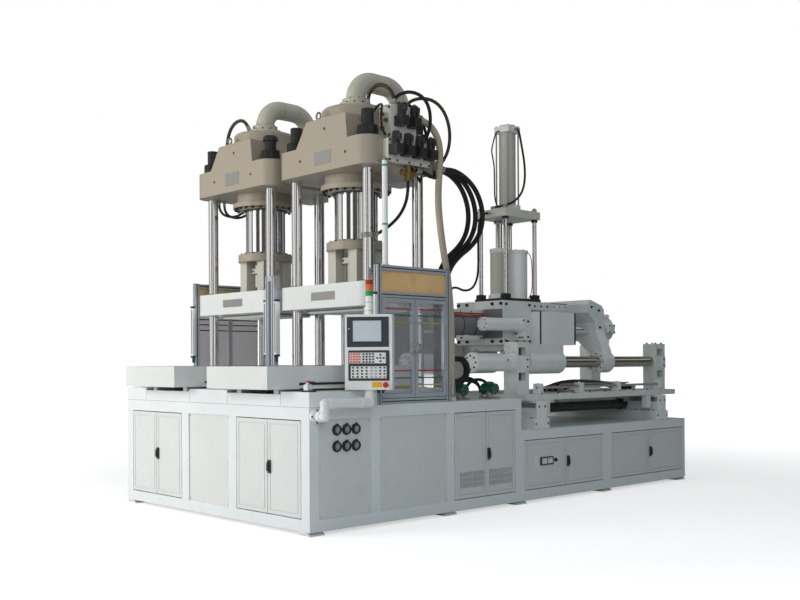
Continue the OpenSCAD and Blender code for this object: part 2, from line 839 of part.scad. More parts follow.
module front_left_door_a() {
    front_leaf(front_x0, false);
}

module front_left_door_b() {
    front_leaf(front_x0, true);
}

module front_right_door_a() {
    front_leaf(-front_x1, false);
}

module front_right_door_b() {
    front_leaf(-front_x1, true);
}

module vent_door_a() {
    side_leaf(side_bays[2], bay_z1, false);
}

module vent_door_b() {
    side_leaf(side_bays[2], bay_z1, true);
}

module rear_door_a() {
    side_leaf(rear_bays[0], rear_bay_z1, false);
}

module rear_door_b() {
    side_leaf(rear_bays[0], rear_bay_z1, true);
}

module rear_door_c() {
    side_leaf(rear_bays[1], rear_bay_z1, false);
}

module rear_door_d() {
    side_leaf(rear_bays[1], rear_bay_z1, true);
}

// A sliding table with runners over its rails
module table(x) {
    color(paint)
        translate([x, 0, 0]) {
            box([-table_w / 2, -table_over, table_z],
                [table_w / 2, table_len - table_over, table_z + table_t]);
            for (r = rail_xs)
                box([r - rail_w / 2, apron_t, bed_z + slide_gap],
                    [r + rail_w / 2, table_len - table_over, table_z]);
        }
}

module table_left() {
    table(press_xs[0]);
}

module table_right() {
    table(press_xs[1]);
}

// The four columns of a press
module columns(x) {
    color(steel)
        for (dx = col_xs, y = col_ys)
            bar_up(x + dx, y, bed_z, head_top + nut_h, col_dia);
}

module press_columns() {
    for (x = press_xs)
        columns(x);
}

// The fixed upper crosshead with its hump
module crosshead(x) {
    color(paint)
        translate([x, 0, 0])
            difference() {
                union() {
                    column_slab(head_z, head_t);
                    along_y(head_y0, head_y1)
                        polygon([[-hump_left_foot, head_top - eps], [-hump_left_foot, head_top],
                            [-hump_left_top, head_top + hump_h], [hump_right_top, head_top + hump_h],
                            [hump_right_foot, head_top], [hump_right_foot, head_top - eps]]);
                }
                column_holes(head_z, head_top, col_fit);
                bar_up(0, press_y, head_z - eps, head_top, boss_dia + 2 * col_fit);
                bar_up(0, press_y, head_top, head_top + hump_h + eps, drum_dia + 2 * col_fit);
            }
}

module crossheads() {
    for (x = press_xs)
        crosshead(x);
}

// The main cylinder: drum on the crosshead, body through it, flange under it
module main_cylinder(x) {
    bore = ram_dia / 2 + ram_room;
    drum_r = drum_dia / 2;
    drum_edge = [for (a = [0 : edge_step : 90])
        [drum_r - drum_round * (1 - cos(a)), drum_z - drum_round * (1 - sin(a))]];
    color(paint)
        translate([x, press_y, 0])
            rotate_extrude()
                polygon([[ram_dia / 2 + slide_gap, boss_z], [boss_flange_dia / 2, boss_z],
                    [boss_flange_dia / 2, boss_z + boss_flange_t], [boss_dia / 2, boss_z + boss_flange_t],
                    [boss_dia / 2, head_top], [drum_r, head_top], each drum_edge,
                    [0, drum_z], [0, drum_z - top_t / 2], [bore, drum_z - top_t / 2],
                    [bore, boss_z + boss_flange_t], [ram_dia / 2 + slide_gap, boss_z + boss_flange_t]]);
}

module main_cylinders() {
    for (x = press_xs)
        main_cylinder(x);
}

// A quarter bend of the oil pipe in the YZ plane
module pipe_quarter(turn) {
    rotate([0, 90, 0])
        rotate([0, 0, turn])
            rotate_extrude(angle = 90)
                translate([pipe_bend, 0])
                    circle(d = pipe_dia);
}

// The prefill pipe from the cylinder's top to the oil block behind the crosshead
module oil_pipe(x) {
    bend_z = pipe_z - pipe_bend;
    drop_y = press_y + pipe_drop;
    color(paint)
        translate([x, 0, 0]) {
            bar_up(0, press_y, drum_z, drum_z + collar_h, collar_dia);
            bar_up(0, press_y, drum_z + collar_h, bend_z, neck_dia);
            translate([0, press_y + pipe_bend, bend_z])
                pipe_quarter(180);
            bar_y(0, pipe_z, press_y + pipe_bend, drop_y - pipe_bend, pipe_dia);
            translate([0, drop_y - pipe_bend, bend_z])
                pipe_quarter(90);
            bar_up(0, drop_y, head_z + oil_block_h, bend_z, pipe_dia);
            box([-oil_block_w / 2, head_y1, head_z],
                [oil_block_w / 2, head_y1 + oil_block_d, head_z + oil_block_h]);
        }
}

module oil_pipes() {
    for (x = press_xs)
        oil_pipe(x);
}

module column_nuts() {
    color(dark)
        for (x = press_xs, dx = col_xs, y = col_ys)
            difference() {
                union() {
                    bar_up(x + dx, y, head_top, head_top + nut_h, nut_dia);
                    bar_up(x + dx, y, head_top + nut_h, head_top + nut_h + cap_h, cap_dia);
                }
                bar_up(x + dx, y, head_top - eps, head_top + nut_h, col_dia + 2 * col_fit);
            }
}

// The ram with its round flange
module ram(x) {
    color(steel)
        translate([x, press_y, 0]) {
            bar_up(0, 0, ram_foot, ram_foot + ram_flange_t, ram_flange_dia);
            bar_up(0, 0, ram_foot, ram_top, ram_dia);
        }
}

module ram_left() {
    ram(press_xs[0]);
}

module ram_right() {
    ram(press_xs[1]);
}

// The spacer posts between platen and ram, with the ejector plate and rod
module spacer(x) {
    color(paint)
        translate([x, press_y, 0]) {
            for (dx = [-spacer_dx / 2, spacer_dx / 2], dy = [-spacer_dy / 2, spacer_dy / 2])
                translate([dx, dy, 0])
                    box([-spacer_post / 2, -spacer_post / 2, platen_top],
                        [spacer_post / 2, spacer_post / 2, ram_foot]);
            box([-spacer_dx / 2, -spacer_dy / 2, platen_top + eject_z],
                [spacer_dx / 2, spacer_dy / 2, platen_top + eject_z + eject_t]);
            bar_up(0, 0, platen_top, ram_foot, eject_rod);
        }
}

module spacer_left() {
    spacer(press_xs[0]);
}

module spacer_right() {
    spacer(press_xs[1]);
}

// The moving platen with its mould plate
module platen(x) {
    color(paint)
        translate([x, 0, 0])
            difference() {
                union() {
                    column_slab(platen_z, platen_t);
                    translate([0, press_y, 0])
                        box([-mould_plate_w / 2, -mould_plate_d / 2, platen_z - mould_plate_t],
                            [mould_plate_w / 2, mould_plate_d / 2, platen_z]);
                }
                column_holes(platen_z, platen_top, slide_gap);
            }
}

module platen_left() {
    platen(press_xs[0]);
}

module platen_right() {
    platen(press_xs[1]);
}

// A gland on the base top under a hose's lower end
module gland(end, dia) {
    bar_up(end[0], end[1], base_h, end[2], dia + 2 * gland_wall);
}

module valve_block() {
    color(grey) {
        box([press_side, press_y - valve_plate_d / 2, head_z + valve_lift],
            [press_side + valve_plate_t, press_y + valve_plate_d / 2, head_z + valve_lift + valve_plate_h]);
        translate([press_side - valve_tower_w, press_y - valve_tower_w, head_top])
            box([0, 0, 0], [valve_tower_w, 2 * valve_tower_w, valve_tower_h]);
        box([hose_x - 1.5 * hose_step, head_y1, hose_z - manifold_h / 2],
            [hose_x + 1.5 * hose_step, head_y1 + manifold_d, hose_z + manifold_h / 2]);
        for (i = [0 : 2])
            gland(hose_end(hose_routes[i]), hose_dia);
        gland(hose_end(return_route), return_dia);
    }
}

module valves() {
    plate_x = press_side + valve_plate_t;
    plate_z = head_z + valve_lift + valve_plate_h / 2;
    tower_y = press_y - valve_tower_w + valve_in;
    step = (valve_plate_d - valve_w) / 3;
    color(dark) {
        for (i = [0 : 3])
            translate([plate_x, press_y - valve_plate_d / 2 + i * step, plate_z]) {
                box([0, 0, -valve_w / 2], [valve_len, valve_w, valve_w / 2]);
                bar_up(valve_len / 2, valve_w / 2, valve_w / 2, valve_w / 2 + valve_len, solenoid_dia);
            }
        for (i = [0, 1])
            translate([press_side, tower_y + i * valve_tower_w, head_top + valve_tower_h / 2]) {
                box([0, 0, -valve_w / 2], [valve_len, valve_w, valve_w / 2]);
                bar_up(valve_len / 2, valve_w / 2, valve_w / 2, valve_w / 2 + valve_len, solenoid_dia);
            }
    }
}

// A side guard's fixed profile frame
module guard_frame() {
    for (y = [guard_y0, guard_y1 - profile])
        box([guard_x, y, base_h], [guard_x + profile, y + profile, guard_z]);
    for (z = [base_h, guard_mid_z - profile, guard_z - profile])
        box([guard_x, guard_y0 + profile, z], [guard_x + profile, guard_y1 - profile, z + profile]);
}

// A gate leaf's profile frame, first or second along Y
module gate_frame(second) {
    y0 = guard_y0 + profile + door_gap + (second ? gate_leaf_len + door_gap : 0);
    x1 = guard_x + profile;
    hinge_y = second ? y0 + gate_leaf_len : y0;
    gate_h = gate_z1 - gate_z0;
    difference() {
        box([x1 - gate_profile, y0, gate_z0], [x1, y0 + gate_leaf_len, gate_z1]);
        box([x1 - gate_profile - eps, y0 + gate_profile, gate_z0 + gate_profile],
            [x1 + eps, y0 + gate_leaf_len - gate_profile, gate_z1 - gate_profile]);
    }
    for (z = [gate_z0 + gate_h / 6, gate_z1 - gate_h / 6 - knuckle_h])
        bar_up(x1, hinge_y, z, z + knuckle_h, 2 * (door_gap - knuckle_gap));
}

// A gate leaf's clear sheet
module gate_sheet(second) {
    y0 = guard_y0 + profile + door_gap + (second ? gate_leaf_len + door_gap : 0);
    x = guard_x + profile - gate_profile / 2;
    box([x - sheet_t / 2, y0 + gate_profile, gate_z0 + gate_profile],
        [x + sheet_t / 2, y0 + gate_leaf_len - gate_profile, gate_z1 - gate_profile]);
}

// A sheet in the upper field of a side guard
module top_sheet() {
    x = guard_x + profile / 2;
    box([x - sheet_t / 2, guard_y0 + profile, guard_mid_z],
        [x + sheet_t / 2, guard_y1 - profile, guard_z - profile]);
}

module guard_frames() {
    x = guard_x + profile / 2;
    middle = (guard_y0 + guard_y1) / 2;
    color(alu) {
        guard_frame();
        mirror([1, 0, 0]) {
            guard_frame();
            box([x - gate_profile / 2, middle - profile / 2, base_h + profile],
                [x + gate_profile / 2, middle + profile / 2, guard_mid_z - profile]);
        }
    }
}

module masked_sheets() {
    color([0.72, 0.56, 0.36]) {
        top_sheet();
        mirror([1, 0, 0])
            top_sheet();
    }
}

module guard_sheets() {
    x = guard_x + profile / 2;
    half = guard_len / 2 - profile * 1.5;
    color([0.8, 0.85, 0.87, 0.4])
        mirror([1, 0, 0])
            for (y = [guard_y0 + profile, guard_y1 - profile - half])
                box([x - sheet_t / 2, y, base_h + profile],
                    [x + sheet_t / 2, y + half, guard_mid_z - profile]);
}

module gate_leaf_a() {
    color(alu)
        gate_frame(false);
}

module gate_leaf_b() {
    color(alu)
        gate_frame(true);
}

module gate_sheet_a() {
    color([0.8, 0.85, 0.87, 0.4])
        gate_sheet(false);
}

module gate_sheet_b() {
    color([0.8, 0.85, 0.87, 0.4])
        gate_sheet(true);
}

module centre_stand() {
    color(alu) {
        for (s = [-1, 1])
            translate([s * (stand_w - profile) / 2, stand_y, 0])
                box([-profile / 2, 0, bed_z], [profile / 2, profile, stand_z]);
        box([-stand_w / 2 + profile, stand_y, stand_z - profile],
            [stand_w / 2 - profile, stand_y + profile, stand_z]);
    }
}

module light_curtains() {
    color([0.9, 0.9, 0.88])
        for (s = [-1, 1]) {
            translate([s * (stand_w + strip_w) / 2, stand_y, 0])
                box([-strip_w / 2, 0, strip_z0], [strip_w / 2, profile, strip_z0 + strip_len]);
            translate([s * (guard_x + profile / 2), guard_y0 - strip_w, 0])
                box([-profile / 2, 0, strip_z0], [profile / 2, strip_w, strip_z0 + strip_len]);
        }
}

module panel_arm() {
    color([0.93, 0.93, 0.91]) {
        translate([side_x, arm_y, arm_flange_z])
            rotate([0, 90, 0]) {
                cylinder(d = arm_flange_dia, h = arm_flange_t);
                cylinder(d = arm_dia, h = arm_out);
            }
        translate([cp_x, arm_y, arm_flange_z])
            sphere(d = elbow_dia);
        bar_up(cp_x, arm_y, arm_flange_z, arm_z, arm_dia);
        translate([cp_x, arm_y, arm_z])
            sphere(d = elbow_dia);
        bar_y(cp_x, arm_z, arm_y, pivot_y, arm_dia);
        translate([cp_x, pivot_y, arm_z])
            sphere(d = elbow_dia);
        bar_up(cp_x, pivot_y, arm_z, cp_z - slide_gap, arm_dia);
    }
}

module control_panel() {
    color([0.92, 0.92, 0.90])
        translate([cp_x, pivot_y, cp_z]) {
            rotate([0, 0, cp_turn])
                box([-cp_w / 2, -cp_d / 2, 0], [cp_w / 2, cp_d / 2, cp_h]);
            bar_up(0, 0, cp_h, cp_h + lamp_foot_h, lamp_dia);
        }
}

module signal_lenses() {
    color([0.85, 0.3, 0.1])
        bar_up(cp_x, pivot_y, lens_z0, lens_z0 + 3 * lens_h, lamp_dia);
}

module cross_rails() {
    color(grey)
        for (y = cross_centres) {
            box([-side_x + cross_in, y - cross_foot_w / 2, rear_h],
                [side_x - cross_in, y + cross_foot_w / 2, rear_h + cross_foot_h]);
            box([-side_x + cross_in, y - cross_head_w / 2, rear_h + cross_foot_h],
                [side_x - cross_in, y + cross_head_w / 2, cross_z]);
        }
}

// A bar bracket with two pockets in its outer face
module bar_bracket(s) {
    difference() {
        box([-tower_w / 2, 0, carriage_top], [tower_w / 2, tower_d, tower_z]);
        for (z = [bar_z + pocket_rise, bar_z - pocket_drop])
            translate([s * tower_w / 2, pocket_in, z])
                box([-pocket_d, 0, -pocket_h / 2], [pocket_d, pocket_w, pocket_h / 2]);
    }
}

module carriage() {
    keeper_ys = [cross_centres[0] + cross_foot_w / 2 + door_gap,
        cross_centres[1] - cross_foot_w / 2 - door_gap - keeper_d];
    color(grey) {
        box([unit_x - carriage_w / 2, tower_front_y, carriage_z],
            [unit_x + carriage_w / 2, tower_rear_y + tower_d, carriage_top]);
        for (s = [-1, 1], y = tower_ys)
            translate([unit_x + s * bar_dx / 2, y, 0])
                bar_bracket(s);
        for (s = [-1, 1], y = keeper_ys)
            translate([unit_x + s * (carriage_w - wall) / 2, y, 0])
                box([-wall / 2, 0, carriage_z - keeper_drop], [wall / 2, keeper_d, carriage_z]);
        for (x = bar_xs)
            bar_y(x, bar_z, tower_front_y - seat_cyl_len, tower_front_y, seat_cyl_dia);
    }
}

module guide_bars() {
    color(steel)
        for (x = bar_xs)
            bar_y(x, bar_z, bar_y0, tower_rear_y, bar_dia);
}

module seat_housing() {
    color(grey)
        difference() {
            union() {
                for (x = bar_xs) {
                    bar_y(x, bar_z, seat_y0, seat_y1, bush_dia);
                    box([x - bush_dia / 3, seat_y0, bar_z], [x + bush_dia / 3, seat_y1, seat_z]);
                }
                box([bar_xs[0] - bush_dia / 3, seat_y0, seat_z - seat_t],
                    [bar_xs[1] + bush_dia / 3, seat_y1, seat_z]);
            }
            for (x = bar_xs)
                bar_y(x, bar_z, seat_y0 - eps, seat_y1 + eps, bar_dia + 2 * slide_gap);
        }
}

module injection_cylinders() {
    color([0.85, 0.86, 0.84])
        for (s = [-1, 1])
            translate([unit_x + s * inj_x, inj_y, seat_z])
                difference() {
                    box([-inj_w / 2, 0, 0], [inj_w / 2, inj_len, inj_h]);
                    bar_y(0, inj_h / 2, wall, inj_len + eps, inj_rod + 2 * slide_gap);
                }
}

module barrel() {
    color([0.25, 0.25, 0.26])
        translate([unit_x, 0, barrel_z])
            rotate([-90, 0, 0])
                rotate_extrude()
                    polygon([[0, nozzle_y], [tip_dia / 2, nozzle_y], [nozzle_dia / 2, nozzle_y + nozzle_dia],
                        [nozzle_dia / 2, barrel_y], [barrel_dia / 2, barrel_y],
                        [barrel_dia / 2, feed_y], [0, feed_y]]);
}

module feed_block() {
    color(grey)
        difference() {
            union() {
                box([unit_x - feed_w / 2, feed_y, seat_z], [unit_x + feed_w / 2, inj_y, feed_top]);
                box([unit_x - feed_w / 2, inj_y - eps, feed_top - shelf_h],
                    [unit_x + feed_w / 2, inj_y + shelf_d, feed_top]);
            }
            bar_y(unit_x, barrel_z, feed_y + wall, inj_y + eps, shank_dia + 2 * slide_gap);
        }
}

module pull_cylinders() {
    color([0.85, 0.86, 0.84])
        for (s = [-1, 1])
            translate([unit_x + s * pull_x, pull_y, barrel_z]) {
                bar_y(0, 0, -pull_len, pull_flange_t / 2, pull_dia);
                box([-(s > 0 ? pull_out : pull_flange_out), 0, -pull_flange_down],
                    [s > 0 ? pull_flange_out : pull_out, pull_flange_t, pull_flange_up]);
            }
}

// Side outline of the drive crosshead about its middle, with a lobe that reaches forward
function drive_side() =
    let (half = drive_len / 2, web = drive_web / 2, lobe = drive_top - lobe_h, foot = bar_z + bush_dia / 2)
    [[lobe_set - half, bar_z - eps], [half - lobe_set, bar_z - eps], [web, foot],
        [web, drive_top - lobe_fall - lobe_set], [web - lobe_set, drive_top - lobe_fall],
        [lobe_set - lobe_fore, drive_top], [-lobe_fore, drive_top - lobe_set], [-lobe_fore, lobe],
        [-web, lobe - flare_h], [-web, foot]];

module drive_crosshead() {
    web_y = drive_mid - drive_web / 2;
    waist = bush_dia / 2;
    rod_z = seat_z + inj_h / 2;
    color(grey) {
        difference() {
            union() {
                for (x = bar_xs)
                    bar_y(x, bar_z, drive_y, drive_y + drive_len, bush_dia);
                intersection() {
                    along_y(drive_mid - lobe_fore, drive_mid + drive_web / 2)
                        translate([unit_x, 0])
                            polygon([[-bar_dx / 2 - waist, bar_z], [-inj_x - waist, rod_z],
                                [-inj_x - waist, drive_top], [inj_x + waist, drive_top],
                                [inj_x + waist, rod_z], [bar_dx / 2 + waist, bar_z],
                                [bar_dx / 2, bar_z], [inj_x - waist, rod_z - waist],
                                [waist - inj_x, rod_z - waist], [-bar_dx / 2, bar_z]]);
                    along_x(unit_x - carriage_w / 2, unit_x + carriage_w / 2)
                        translate([drive_mid, 0])
                            polygon(drive_side());
                }
            }
            for (x = bar_xs)
                bar_y(x, bar_z, drive_y - eps, drive_y + drive_len + eps, bar_dia + 2 * slide_gap);
        }
        for (s = [-1, 1])
            bar_y(unit_x + s * inj_x, rod_z, inj_y + inj_len - wall, web_y, inj_rod);
    }
}

module screw_motor() {
    web_y1 = drive_mid + drive_web / 2;
    color(grey) {
        bar_y(unit_x, barrel_z, inj_y - wall, drive_mid - drive_web / 2, shank_dia);
        bar_y(unit_x, barrel_z, web_y1, motor_y, shaft_dia);
        bar_y(unit_x, barrel_z, motor_y, motor_y + motor_len, motor_dia);
    }
}

module stuffer_frame() {
    color(grey)
        translate([unit_x, stuff_y, 0]) {
            box([-stuff_w / 2, -stuff_len / 2, stuff_z],
                [stuff_w / 2, stuff_len / 2, stuff_z + stuff_plate_t]);
            box([-stuff_w / 2, -stuff_len / 2, feed_top], [stuff_w / 2, stuff_len / 2, chamber_z]);
            for (dx = [-1, 1], dy = [-1, 1])
                translate([dx * (stuff_w / 2 - stuff_rod), dy * (stuff_len / 2 - stuff_rod), 0])
                    bar_up(0, 0, chamber_z, stuff_z, stuff_rod);
        }
}

module stuffer_cylinder() {
    color([0.85, 0.86, 0.84])
        translate([unit_x, stuff_y, 0]) {
            bar_up(0, 0, stuff_z + stuff_plate_t, stuff_top, stuff_cyl_dia);
            translate([0, -stuff_len / 4, 0])
                bar_up(0, 0, chamber_z + chamber_h, stuff_z, piston_dia);
        }
}

module feed_chambers() {
    color(grey)
        translate([unit_x, stuff_y, 0]) {
            bar_up(0, -stuff_len / 4, chamber_z, chamber_z + chamber_h, chamber_a_dia);
            bar_up(0, stuff_len / 4 - chamber_in, chamber_z, chamber_z + chamber_h, chamber_b_dia);
        }
}

module hose_inner() {
    color(dark)
        hose(hose_routes[0], hose_dia);
}

module hose_middle() {
    color(dark)
        hose(hose_routes[1], hose_dia);
}

module hose_outer() {
    color(dark)
        hose(hose_routes[2], hose_dia);
}

module return_hose() {
    color([0.78, 0.72, 0.58])
        hose(return_route, return_dia);
}

// The whole machine set on its reference point, the middle of its footprint on the floor
module place() {
    translate([-x_mid, -y_mid, 0])
        children();
}

place() base_frame();
place() rear_frame();
place() bay_panels();
place() feet();
place() bed();
place() front_left_door_a();
place() front_left_door_b();
place() front_right_door_a();
place() front_right_door_b();
place() vent_door_a();
place() vent_door_b();
place() rear_door_a();
place() rear_door_b();
place() rear_door_c();
place() rear_door_d();
place() table_left();
place() table_right();
place() press_columns();
place() crossheads();
place() main_cylinders();
place() oil_pipes();
place() column_nuts();
place() ram_left();
place() ram_right();
place() spacer_left();
place() spacer_right();
place() platen_left();
place() platen_right();
place() valve_block();
place() valves();
place() guard_frames();
place() masked_sheets();
place() guard_sheets();
place() gate_leaf_a();
place() gate_leaf_b();
place() gate_sheet_a();
place() gate_sheet_b();
place() centre_stand();
place() light_curtains();
place() panel_arm();
place() control_panel();
place() signal_lenses();
place() cross_rails();
place() carriage();
place() guide_bars();
place() seat_housing();
place() injection_cylinders();
place() barrel();
place() feed_block();
place() pull_cylinders();
place() drive_crosshead();
place() screw_motor();
place() stuffer_frame();
place() stuffer_cylinder();
place() feed_chambers();
place() hose_inner();
place() hose_middle();
place() hose_outer();
place() return_hose();
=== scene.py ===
"""Looks of a two-station vertical injection moulding machine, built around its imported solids.

Lengths are in metres. Machine axes: X across the front with 0 in the middle, Y to the rear with 0 at the
base's front face, Z up with 0 at the floor. `at()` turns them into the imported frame.
"""

import json
import logging
import math
from dataclasses import dataclass, field
from enum import Enum
from itertools import product
from typing import Iterable, Mapping, Optional, Sequence, Union

import bmesh
import bpy
from mathutils import Matrix, Quaternion, Vector


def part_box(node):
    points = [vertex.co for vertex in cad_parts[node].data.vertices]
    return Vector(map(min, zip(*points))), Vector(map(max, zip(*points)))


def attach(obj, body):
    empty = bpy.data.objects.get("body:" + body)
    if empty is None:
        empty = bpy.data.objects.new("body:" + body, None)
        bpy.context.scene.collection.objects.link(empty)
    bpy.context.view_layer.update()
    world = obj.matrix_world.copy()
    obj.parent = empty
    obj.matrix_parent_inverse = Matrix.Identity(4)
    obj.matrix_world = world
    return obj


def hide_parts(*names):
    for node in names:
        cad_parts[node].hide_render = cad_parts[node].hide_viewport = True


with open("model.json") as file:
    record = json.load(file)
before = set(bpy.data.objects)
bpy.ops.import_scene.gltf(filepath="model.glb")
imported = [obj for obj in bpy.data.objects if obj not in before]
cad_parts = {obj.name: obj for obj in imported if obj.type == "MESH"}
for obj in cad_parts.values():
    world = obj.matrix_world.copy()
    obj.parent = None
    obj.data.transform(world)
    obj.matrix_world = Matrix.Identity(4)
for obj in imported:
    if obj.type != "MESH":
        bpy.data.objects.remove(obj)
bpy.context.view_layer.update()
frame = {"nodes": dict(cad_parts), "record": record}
LOG = logging.getLogger("moulding_machine")

Point = Sequence[float]
Colour = tuple[float, float, float]
Socket = bpy.types.NodeSocket
Round = Sequence[bmesh.types.BMVert]

BASE_LOW, BASE_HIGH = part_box("base_frame")
MACHINE_ZERO = Vector(((BASE_LOW.x + BASE_HIGH.x) / 2, BASE_LOW.y, 0.0))
X_AXIS, Y_AXIS, Z_AXIS = Vector((1, 0, 0)), Vector((0, 1, 0)), Vector((0, 0, 1))
OUT = -Y_AXIS
MACHINE = "machine"
STATION_X = 0.606
BASE_TOP = 0.875
BED_TOP = 0.98
OPAQUE_WHITE = (1.0, 1.0, 1.0, 1.0)
GLOSS_SPREAD = 0.07
BUMP_STRENGTH = 0.35
COAT_ROUGHNESS = 0.12
SHEET_IOR = 1.2
SHARP_DEGREES = 32.0
TIP_RADIUS = 1e-6
LINE_SIDES = 14
# Outer radius, inner radius and length of an end fitting in line diameters, and its number of sides
FERRULE = (0.6, 0.49, 1.75, 24)
FERRULE_NUT = (0.72, 0.49, 0.45, 6)


def at(x: float, y: float, z: float) -> Vector:
    """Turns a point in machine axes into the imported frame."""
    return Vector((x, y, z)) + MACHINE_ZERO


def node_box(node: str) -> tuple[Vector, Vector]:
    """Gives a node's lowest and highest corners in machine axes."""
    low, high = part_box(node)
    return low - MACHINE_ZERO, high - MACHINE_ZERO


def turned_place(x: float, y: float, z: float, degrees: float = 0.0) -> Matrix:
    """Gives a local frame on a wall: x to the right, y into the wall, z up.

    Args:
        x: Place of its origin across the front.
        y: Place of its origin to the rear.
        z: Height of its origin.
        degrees: Turn about the vertical: 0 on the front, 90 on the right, -90 on the left, 180 on the rear.

    Returns:
        The matrix from the local frame to machine axes.
    """
    return Matrix.Translation((x, y, z)) @ Matrix.Rotation(math.radians(degrees), 4, "Z")


def square_to(axis: Vector) -> tuple[Vector, Vector]:
    """Gives two directions square to an axis and to each other."""
    direction = axis.normalized()
    across = direction.orthogonal().normalized()
    return across, direction.cross(across)


def circle(centre: Point, axis: Vector, radius: float, count: int, start: float = 0.0) -> list[Vector]:
    """Gives points spaced evenly on a circle.

    Args:
        centre: Centre of the circle.
        axis: Axis of the circle.
        radius: Radius of the circle.
        count: Number of points.
        start: Angle of the first point in degrees.

    Returns:
        The points.
    """
    across, turn = square_to(axis)
    angles = [math.radians(start) + 2 * math.pi * i / count for i in range(count)]
    return [Vector(centre) + radius * (across * math.cos(a) + turn * math.sin(a)) for a in angles]


def steps(start: float, end: float, count: int) -> list[float]:
    """Gives evenly spaced values from start to end, both included."""
    return [start + (end - start) * i / (count - 1) for i in range(count)]


class Tree:
    """Shader nodes of one material or of the world."""

    def __init__(self, owner: bpy.types.ID) -> None:
        """Opens the node tree of a material or a world."""
        owner.use_nodes = True
        self.nodes, self.links = owner.node_tree.nodes, owner.node_tree.links

    def feed(self, node: bpy.types.Node, inputs: Mapping[Union[str, int], object]) -> None:
        """Links or sets the inputs of a node, each from a socket or a plain value."""
        for key, value in inputs.items():
            if isinstance(value, Socket):
                self.links.new(value, node.inputs[key])
            else:
                node.inputs[key].default_value = value

    def add(
        self, kind: str, inputs: Mapping[Union[str, int], object], output: Union[str, int] = 0,
        **settings: object
    ) -> Socket:
        """Adds a node.

        Args:
            kind: Kind of the node, without its prefix.
            inputs: Socket or plain value of each input.
            output: Output that goes on.
            settings: Options of the node.

        Returns:
            That output.
        """
        node = self.nodes.new(f"ShaderNode{kind}")
        for name, value in settings.items():
            setattr(node, name, value)
        self.feed(node, inputs)
        return node.outputs[output]

    def noise(self, place: Socket, scale: float, detail: float) -> Socket:
        """Adds a noise texture of the given scale and detail."""
        return self.add("TexNoise", {"Vector": place, "Scale": scale, "Detail": detail}, "Fac")

    def ramp(self, source: Socket, stops: Sequence[tuple[float, Colour]]) -> Socket:
        """Adds a colour ramp.

        Args:
            source: What drives the ramp.
            stops: Place and colour of every stop, from the lowest up.

        Returns:
            The colour of the ramp.
        """
        node = self.nodes.new("ShaderNodeValToRGB")
        made = node.color_ramp.elements
        made.remove(made[1])
        made[0].position = stops[0][0]
        for i, (place, colour) in enumerate(stops):
            stop = made.new(place) if i else made[0]
            stop.color = (*colour, 1.0)
        self.links.new(source, node.inputs["Fac"])
        return node.outputs["Color"]

    def seen(self, *rays: str) -> Socket:
        """Adds a switch that is 1 for the given kinds of ray."""
        path = self.nodes.new("ShaderNodeLightPath")
        found = path.outputs[rays[0]]
        for ray in rays[1:]:
            found = self.add("Math", {0: found, 1: path.outputs[ray]}, operation="MAXIMUM")
        return found


class Grain(Enum):
    """The small-scale surface of a finish: noise scale, stretch along Z, and bump depth in metres."""

    PAINT = (260.0, 1.0, 0.00012)
    CAST = (120.0, 1.0, 0.0006)
    GROUND = (900.0, 0.02, 0.00002)
    DRAWN = (700.0, 0.03, 0.00005)
    RUBBER = (500.0, 1.0, 0.0002)
    PAPER = (90.0, 0.6, 0.0003)
    MOULDED = (420.0, 1.0, 0.00006)
    CLEAR = (6.0, 0.5, 0.0004)
    WRAP = (14.0, 0.35, 0.004)
    POLISHED = (9.0, 0.4, 0.0000005)


